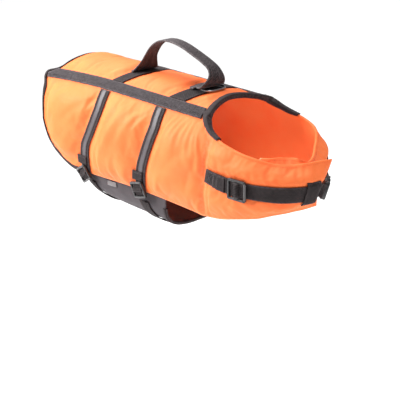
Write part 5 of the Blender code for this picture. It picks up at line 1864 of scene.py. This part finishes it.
# ---- chest strap
@dataclass
class ChestStrap:
    """The webbing round the chest with its tabs, adjusters, keeper and buckle."""

    sides: dict[Hand, WornSide]
    line: Curve
    sewing: Sewing
    locks: LadderLocks
    webbing: Material
    plastic: Material
    tab_lift: float = 0.7
    strap_lift: float = 1.1
    width: float = 25.0
    thickness: float = 1.8
    tab_thick: float = 3.0
    tab_slant: float = 6.0
    fold_runs: tuple[Pair, ...] = ((262.0, 293.0), (271.0, 288.0))
    fold_thick: float = 1.5
    seat: float = 2.8
    lock_length: float = 36.0
    strap_end: float = 445.0
    left_leaves: float = 378.0
    keeper_runs: Pair = (414.0, 436.0)
    keeper_lean: float = 0.15
    buckle_start: Spot = (408.4, -13.0, -102.0)
    buckle_end: Spot = (383.7, 21.0, -102.0)
    buckle_height: float = 30.0
    buckle_thick: float = 9.0
    buckle_lean: float = 0.27
    socket_share: float = 0.6
    tab_runs: dict[Hand, Pair] = field(default_factory=lambda: {
        Hand.RIGHT: (241.0, 312.0), Hand.LEFT: (241.0, 286.0)})
    lock_run: dict[Hand, float] = field(default_factory=lambda: {Hand.RIGHT: 313.0, Hand.LEFT: 287.0})

    def strip(self, side: WornSide, ends: Pair, count: int, lift: float, slant: float = 0.0) -> Array:
        """Underside of webbing along the chest float.

        Args:
            side: The flank.
            ends: Runs of its two ends.
            count: Rows of points along it.
            lift: Its height above the float.
            slant: How far its first end leans, in millimetres.

        Returns:
            The points.
        """
        run = np.linspace(*ends, count)[:, None]
        step = np.linspace(-self.width / 2, self.width / 2, 9)[None, :]
        lean = slant * (ends[1] - run) / (ends[1] - ends[0]) * step / self.width
        return side.outer(run + lean, self.line.at(run) + step, lift)

    def around(self, under: Array, thickness: float) -> Band:
        """A band round the chest."""
        return Band(under, (300.0, 0.0, -95.0), thickness)

    def buckle_axes(self) -> tuple[Array, Array]:
        """Direction along the buckle and out of its face."""
        along = unit(np.array(self.buckle_end) - np.array(self.buckle_start))
        return along, unit(np.array([along[1], -along[0], -self.buckle_lean]))

    def tab(self, side: WornSide) -> None:
        """Sew the doubled webbing to the float, with its end folded over twice."""
        start, end = self.tab_runs[side.hand]
        under = self.strip(side, (start, end), 44, self.tab_lift, self.tab_slant)
        main = self.around(under, self.tab_thick)
        name = f"chest_tab_{side.hand.word}"
        items, lift = [main.build(name + "_band")], self.tab_lift + self.tab_thick + 0.1
        self.sewing.cross_box(main, 0.04, 0.28)
        for n, (first, last) in enumerate(self.fold_runs):
            ends = (first, min(last, end - 4.0 - 3.0 * n))
            fold = self.around(self.strip(side, ends, 16, lift, 3.0), self.fold_thick)
            items.append(fold.build("fold"))
            self.sewing.sew(fold.cross_line(2.6))
            lift += self.fold_thick + 0.1
        dress(merged(items), self.webbing, "webbing", name)

    def strap(self, side: WornSide) -> None:
        """Make the webbing from the adjuster to the buckle."""
        along, outward = self.buckle_axes()
        if side.hand is Hand.RIGHT:
            leaves, count, target = self.strap_end, 76, self.buckle_start - along * 0.2
        else:
            leaves, count, target = self.left_leaves, 56, self.buckle_end + along * 0.2
        rows = self.strip(side, (self.tab_runs[side.hand][1] + 0.4, leaves), count, self.strap_lift)
        target = target - outward * self.thickness / 2
        last = target + np.cross(outward, along) * np.linspace(-self.width / 2, self.width / 2, 9)[:, None]
        free = smooth_through(np.array([rows[-1], between(rows[-1], last, 0.5), last]), 9)[1:]
        band = self.around(np.concatenate([rows, free]), self.thickness)
        band.laid(f"chest_strap_{side.hand.word}", self.webbing)

    def keeper(self, side: WornSide) -> None:
        """Sew the webbing across the chest strap."""
        over = 0.7 + 0.4 + self.thickness + 0.8
        flat = [(step, over) for step in (13.8, 7, 0, -7, -13.8)]
        profile = [(17.5, 0.7), (15.6, 1.6), *flat, (-16.6, 1.6), (-19, 0.7)]
        rows = []
        for run in np.linspace(*self.keeper_runs, 12):
            middle = float(self.line.at(run))
            column = [side.outer(run + step * self.keeper_lean, middle + step, lift) for step, lift in profile]
            rows.append(smooth_through(np.array(column), 21))
        band = self.around(np.array(rows), self.thickness)
        self.sewing.edges(band, 3.0)
        band.laid("keeper", self.webbing)

    def socket(self, length: float) -> Object:
        """The buckle's socket, drawn in at its sides where the prongs show."""
        half, reach = self.buckle_height / 2, length / 2
        outline = [
            (half - 3, -reach), (half, -reach + 3), (half, -reach * 0.25), (half - 4.2, 0.0),
            (half - 4.2, reach * 0.45), (half - 0.6, reach * 0.62), (half - 0.6, reach - 1.6), (half - 2, reach)]
        outline += [(-x, y) for x, y in reversed(outline)]
        slot = rounded_outline(self.width + 0.6, 3.2, 1.2, -reach + 4.2)[::-1]
        top = self.buckle_thick / 2 - 0.3
        # the last number of each bar paints it paler, a painted highlight together with scuffing on the top ridge,
        # ribs and side edges
        bars = [((0, -reach * 0.3, top), (0, reach * 0.8, top), 2.6, 0.4, 0.7)]
        for side in (-1, 1):
            rib, edge = side * (half - 7.0), side * (half - 1.4)
            bars.append(((rib, -reach * 0.2, top), (rib, reach * 0.8, top), 0.9, 0.6, 1.0))
            bars.append(((edge, -reach + 3, 0.0), (edge, -reach * 0.3, 0.0), 1.7, 1.5, 1.0))
        socket = curved_wire("socket", [outline, slot], 1.7, self.buckle_thick / 2)
        return merged([socket] + [rounded_bar(*bar) for bar in bars])

    def plug(self, length: float) -> Object:
        """The buckle's plug: a slotted bar and two prongs."""
        half, reach = self.buckle_height * 0.43, length / 2
        outline = [(half - 2, reach), (half, reach - 2), (half, -reach + 2), (half - 2, -reach)]
        outline += [(-x, y) for x, y in reversed(outline)]
        slot = rounded_outline(self.width - 2.0, 3.0, 1.2, reach - 4.0)[::-1]
        items = [curved_wire("plug", [outline[::-1], slot], 1.4, self.buckle_thick * 0.4)]
        for x in (1.2 - half, half - 1.2):
            items.append(rounded_bar((x, -reach - 13.5, 0.0), (x, -reach + 1.0, 0.0), 2.6, 1.1))
        return merged(items)

    def buckle(self) -> None:
        """Make the fastened buckle."""
        along, outward = self.buckle_axes()
        length = float(np.linalg.norm(np.subtract(self.buckle_end, self.buckle_start)))
        parts = (("socket", self.socket, 0.0, self.socket_share), ("plug", self.plug, self.socket_share, 1.0))
        for word, make, low, high in parts:
            item = make((high - low) * length - 0.4)
            item.name = f"buckle_{word}_moulding"
            middle = self.buckle_start + along * length * (low + high) / 2
            item.data.transform(surface_frame(middle, outward, along))
            dress(item, self.plastic, "plastic", f"buckle_{word}")

    def build(self) -> None:
        """Make the strap's pieces on both sides."""
        for hand, side in self.sides.items():
            self.tab(side)
            self.strap(side)
            run = self.lock_run[hand]
            z = float(self.line.at(run))
            point = side.outer(run, z, self.tab_lift + self.tab_thick + self.seat)
            frame_at = surface_frame(point, side.normal(run, z), side.base(run + 5, z) - side.base(run - 5, z))
            node = f"chest_adjuster_{hand.word}"
            self.locks.add(node, frame_at, self.lock_length, self.plastic, self.webbing)
        self.keeper(self.sides[Hand.RIGHT])
        self.buckle()


# ---- handle and lead ring
@dataclass(frozen=True)
class HandlePlace:
    """A place on the handle: its right and left edge, and how much further forward the left one is."""

    x: float
    z: float
    right: float
    left: float
    skew: float = 0.0


HANDLE_PLACES = [HandlePlace(*row) for row in (
    (-38, 7.9, -25, 25), (-31, 8.1, -25, 25, 4), (-25, 12, -24, 24, 10), (-19, 20, -20, 20, 8),
    (-14, 29, -17, 17, 4), (-8, 40, -16, 14, 2), (4, 57, -14, 15), (20, 68, -12, 15), (38, 72, -10, 15),
    (58, 71.5, -10, 15), (80, 67, -10, 15), (104, 59, -10, 15.5), (128, 50, -10, 16), (143, 42, -11, 17),
    (151, 33, -17, 18), (152.5, 25, -25, 19, 4), (148, 18.4, -31, 22, 6), (140, 16.6, -30, 24, 3),
    (130, 16.3, -27, 25), (122, 11.6, -26, 25), (115, 11.2, -25, 25),
)]


@dataclass
class GrabHandle:
    """The webbing handle along the spine and the metal ring under its front foot."""

    sewing: Sewing
    half: float = 75.0
    thickness: float = 3.0
    crown: float = 14.0
    pleat: float = 0.8
    ring_bar_x: float = 137.0
    ring_bow_x: float = 161.0
    ring_half: float = 22.0
    ring_z: float = 9.6
    wire: float = 3.4

    def band(self) -> Band:
        """The handle's webbing, gathered where each foot leaves the back."""
        rows = smooth_through(np.array([astuple(place) for place in HANDLE_PLACES], float), 180)
        x, z, right, left, skew = (rows[:, n:n + 1] for n in range(5))
        share = np.linspace(0, 1, 17)[None, :]
        y = between(right, left, share)
        under = stack(x + skew * (share - 0.5), y, z - self.crown * (y / self.half) ** 2)
        band = Band(under, (60.0, 0.0, 0.0), self.thickness, 0.45)
        station = np.linspace(0, len(HANDLE_PLACES) - 1, 180)[:, None]
        gathered = bump(station - 3.6, 1.3) + bump(station - 14.6, 1.2)
        waves = np.sin(share * 5 * math.pi + 0.35 * station) * ramp(0.5 - abs(share - 0.5), 0.1)
        return band.moved(self.pleat * gathered * waves)

    def ring(self) -> Object:
        """The D-shaped ring of round wire."""
        ends = np.linspace(-0.8, 0.8, 6) * self.ring_half
        route = [(self.ring_bar_x, y, self.ring_z) for y in ends]
        for angle in np.linspace(0.0, math.pi, 40):
            x = between(self.ring_bar_x + 3, self.ring_bow_x, math.sin(angle) ** 0.5)
            y = math.copysign(self.ring_half * abs(math.cos(angle)) ** 0.6, math.cos(angle))
            route.append((x, y, self.ring_z))
        ring = curved_wire("lead_ring_wire", [route], self.wire / 2)
        ring.data.shade_smooth()
        return ring

    def build(self, webbing: Material, steel: Material) -> None:
        """Make the handle and the ring."""
        band = self.band()
        band.laid("grab_handle", webbing)
        self.sewing.edges(band, 2.6, 8, 172)
        self.sewing.cross_box(band, 0.85, 0.99)
        for inset in (3.0, 9.0):
            self.sewing.sew(band.cross_line(inset))
        dress(self.ring(), steel, "ring_metal", "lead_ring")


# ---- studio
@dataclass
class Studio:
    """A pale floor, a soft sky of light from above, soft lamps and the camera."""

    azimuth: float = 46.0
    elevation: float = 22.0
    distance: float = 1.85
    aim: Spot = (0.115, 0.0, -0.205)
    lens: float = 92.7
    floor_z: float = -620.0
    floor_half: float = 6000.0

    def camera(self) -> None:
        """Stand the camera at the viewing angle."""
        turn = Euler((math.radians(90 - self.elevation), 0.0, math.radians(self.azimuth)))
        back = turn.to_matrix() @ Vector((0.0, 0.0, 1.0))
        lens = bpy.data.cameras.new("camera")
        lens.lens, lens.sensor_width = self.lens, 36.0
        camera = linked("camera", lens)
        camera.location = Vector(self.aim) + back * self.distance
        camera.rotation_euler = turn
        bpy.context.scene.camera = camera

    def lamp(self, name: str, kind: str, place: Spot, power: float, **settings: float) -> None:
        """Hang one soft lamp that faces the jacket.

        Args:
            name: Name of the lamp.
            kind: "AREA" for a square softbox, "SUN" for light from far away.
            place: Where it hangs, in metres.
            power: Its power in watts, or a sun's strength.
            **settings: The softbox's size in metres or the sun's angle.
        """
        light = bpy.data.lights.new(name, kind)
        adjust(light, energy=power, **settings)
        item = linked(name, light)
        item.location = place
        item.rotation_euler = (Vector((0.05, 0.0, -0.08)) - Vector(place)).to_track_quat("-Z", "Y").to_euler()

    def build(self, paper: Material) -> None:
        """Set the floor, the lamps, the air and the camera."""
        far, low = self.floor_half, self.floor_z
        corners = np.array([(-far, -far, low), (far, -far, low), (far, far, low), (-far, far, low)])
        floor = mesh_object("floor", corners, [(0, 1, 2, 3)])
        floor.data.materials.append(paper)
        world = bpy.data.worlds.new("soft_white_room")
        bpy.context.scene.world = world
        world.use_nodes = True
        room = world.node_tree.nodes["Background"]
        room.inputs["Color"].default_value = linear("FFFFFF")
        room.inputs["Strength"].default_value = 0.32
        self.lamp("ceiling_light", "SUN", (-0.3, 0.1, 2.0), 2.2, angle=math.radians(36))
        self.lamp("key_softbox", "AREA", (-0.75, -0.85, 0.5), 29.0, size=0.55)
        self.lamp("rear_top_softbox", "AREA", (-0.6, 0.1, 0.7), 6.0, size=0.5)
        self.lamp("low_front_fill", "AREA", (1.3, -0.2, -0.4), 4.0, size=0.8)
        bpy.context.scene.view_settings.view_transform = "Standard"
        self.camera()


def main() -> None:
    """Build every piece of the jacket and its studio."""
    logging.basicConfig(level=logging.INFO, format="%(name)s %(message)s")
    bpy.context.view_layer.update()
    sides = {hand: WornSide(hand) for hand in Hand}
    back, belly = WornBack(sides[Hand.RIGHT]), WornBelly(sides[Hand.RIGHT])
    chest_line = Curve([230, 270, 313, 360, 430, 480], [-95, -97, -99, -97, -96, -96])
    sewing, locks = Sewing(), LadderLocks()
    dark_webbing, plastic, tape = DARK_WEBBING.build(), ACETAL.build(), EDGE_TAPE.build()
    ShellPanels(back, sides, chest_line, sewing).build(SHELL_NYLON.build())
    BackWebbing(back, sides, sewing).build(WEBBING.build(), dark_webbing)
    GirthStraps(sides, belly, sewing, locks, dark_webbing, REFLECTIVE.build(), plastic).build()
    BellyPanel(belly, sewing).build(BELLY_OXFORD.build(), tape, LABEL_SATIN.build())
    EdgeTapes(back, sides, sewing).build(tape)
    ChestStrap(sides, chest_line, sewing, locks, dark_webbing, plastic).build()
    GrabHandle(sewing).build(HANDLE_WEBBING.build(), STEEL_WIRE.build())
    sewing.build({Thread.GREY: GREY_THREAD.build(), Thread.ORANGE: ORANGE_THREAD.build()})
    Studio().build(PAPER.build())
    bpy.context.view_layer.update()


if __name__ == "__main__":
    main()
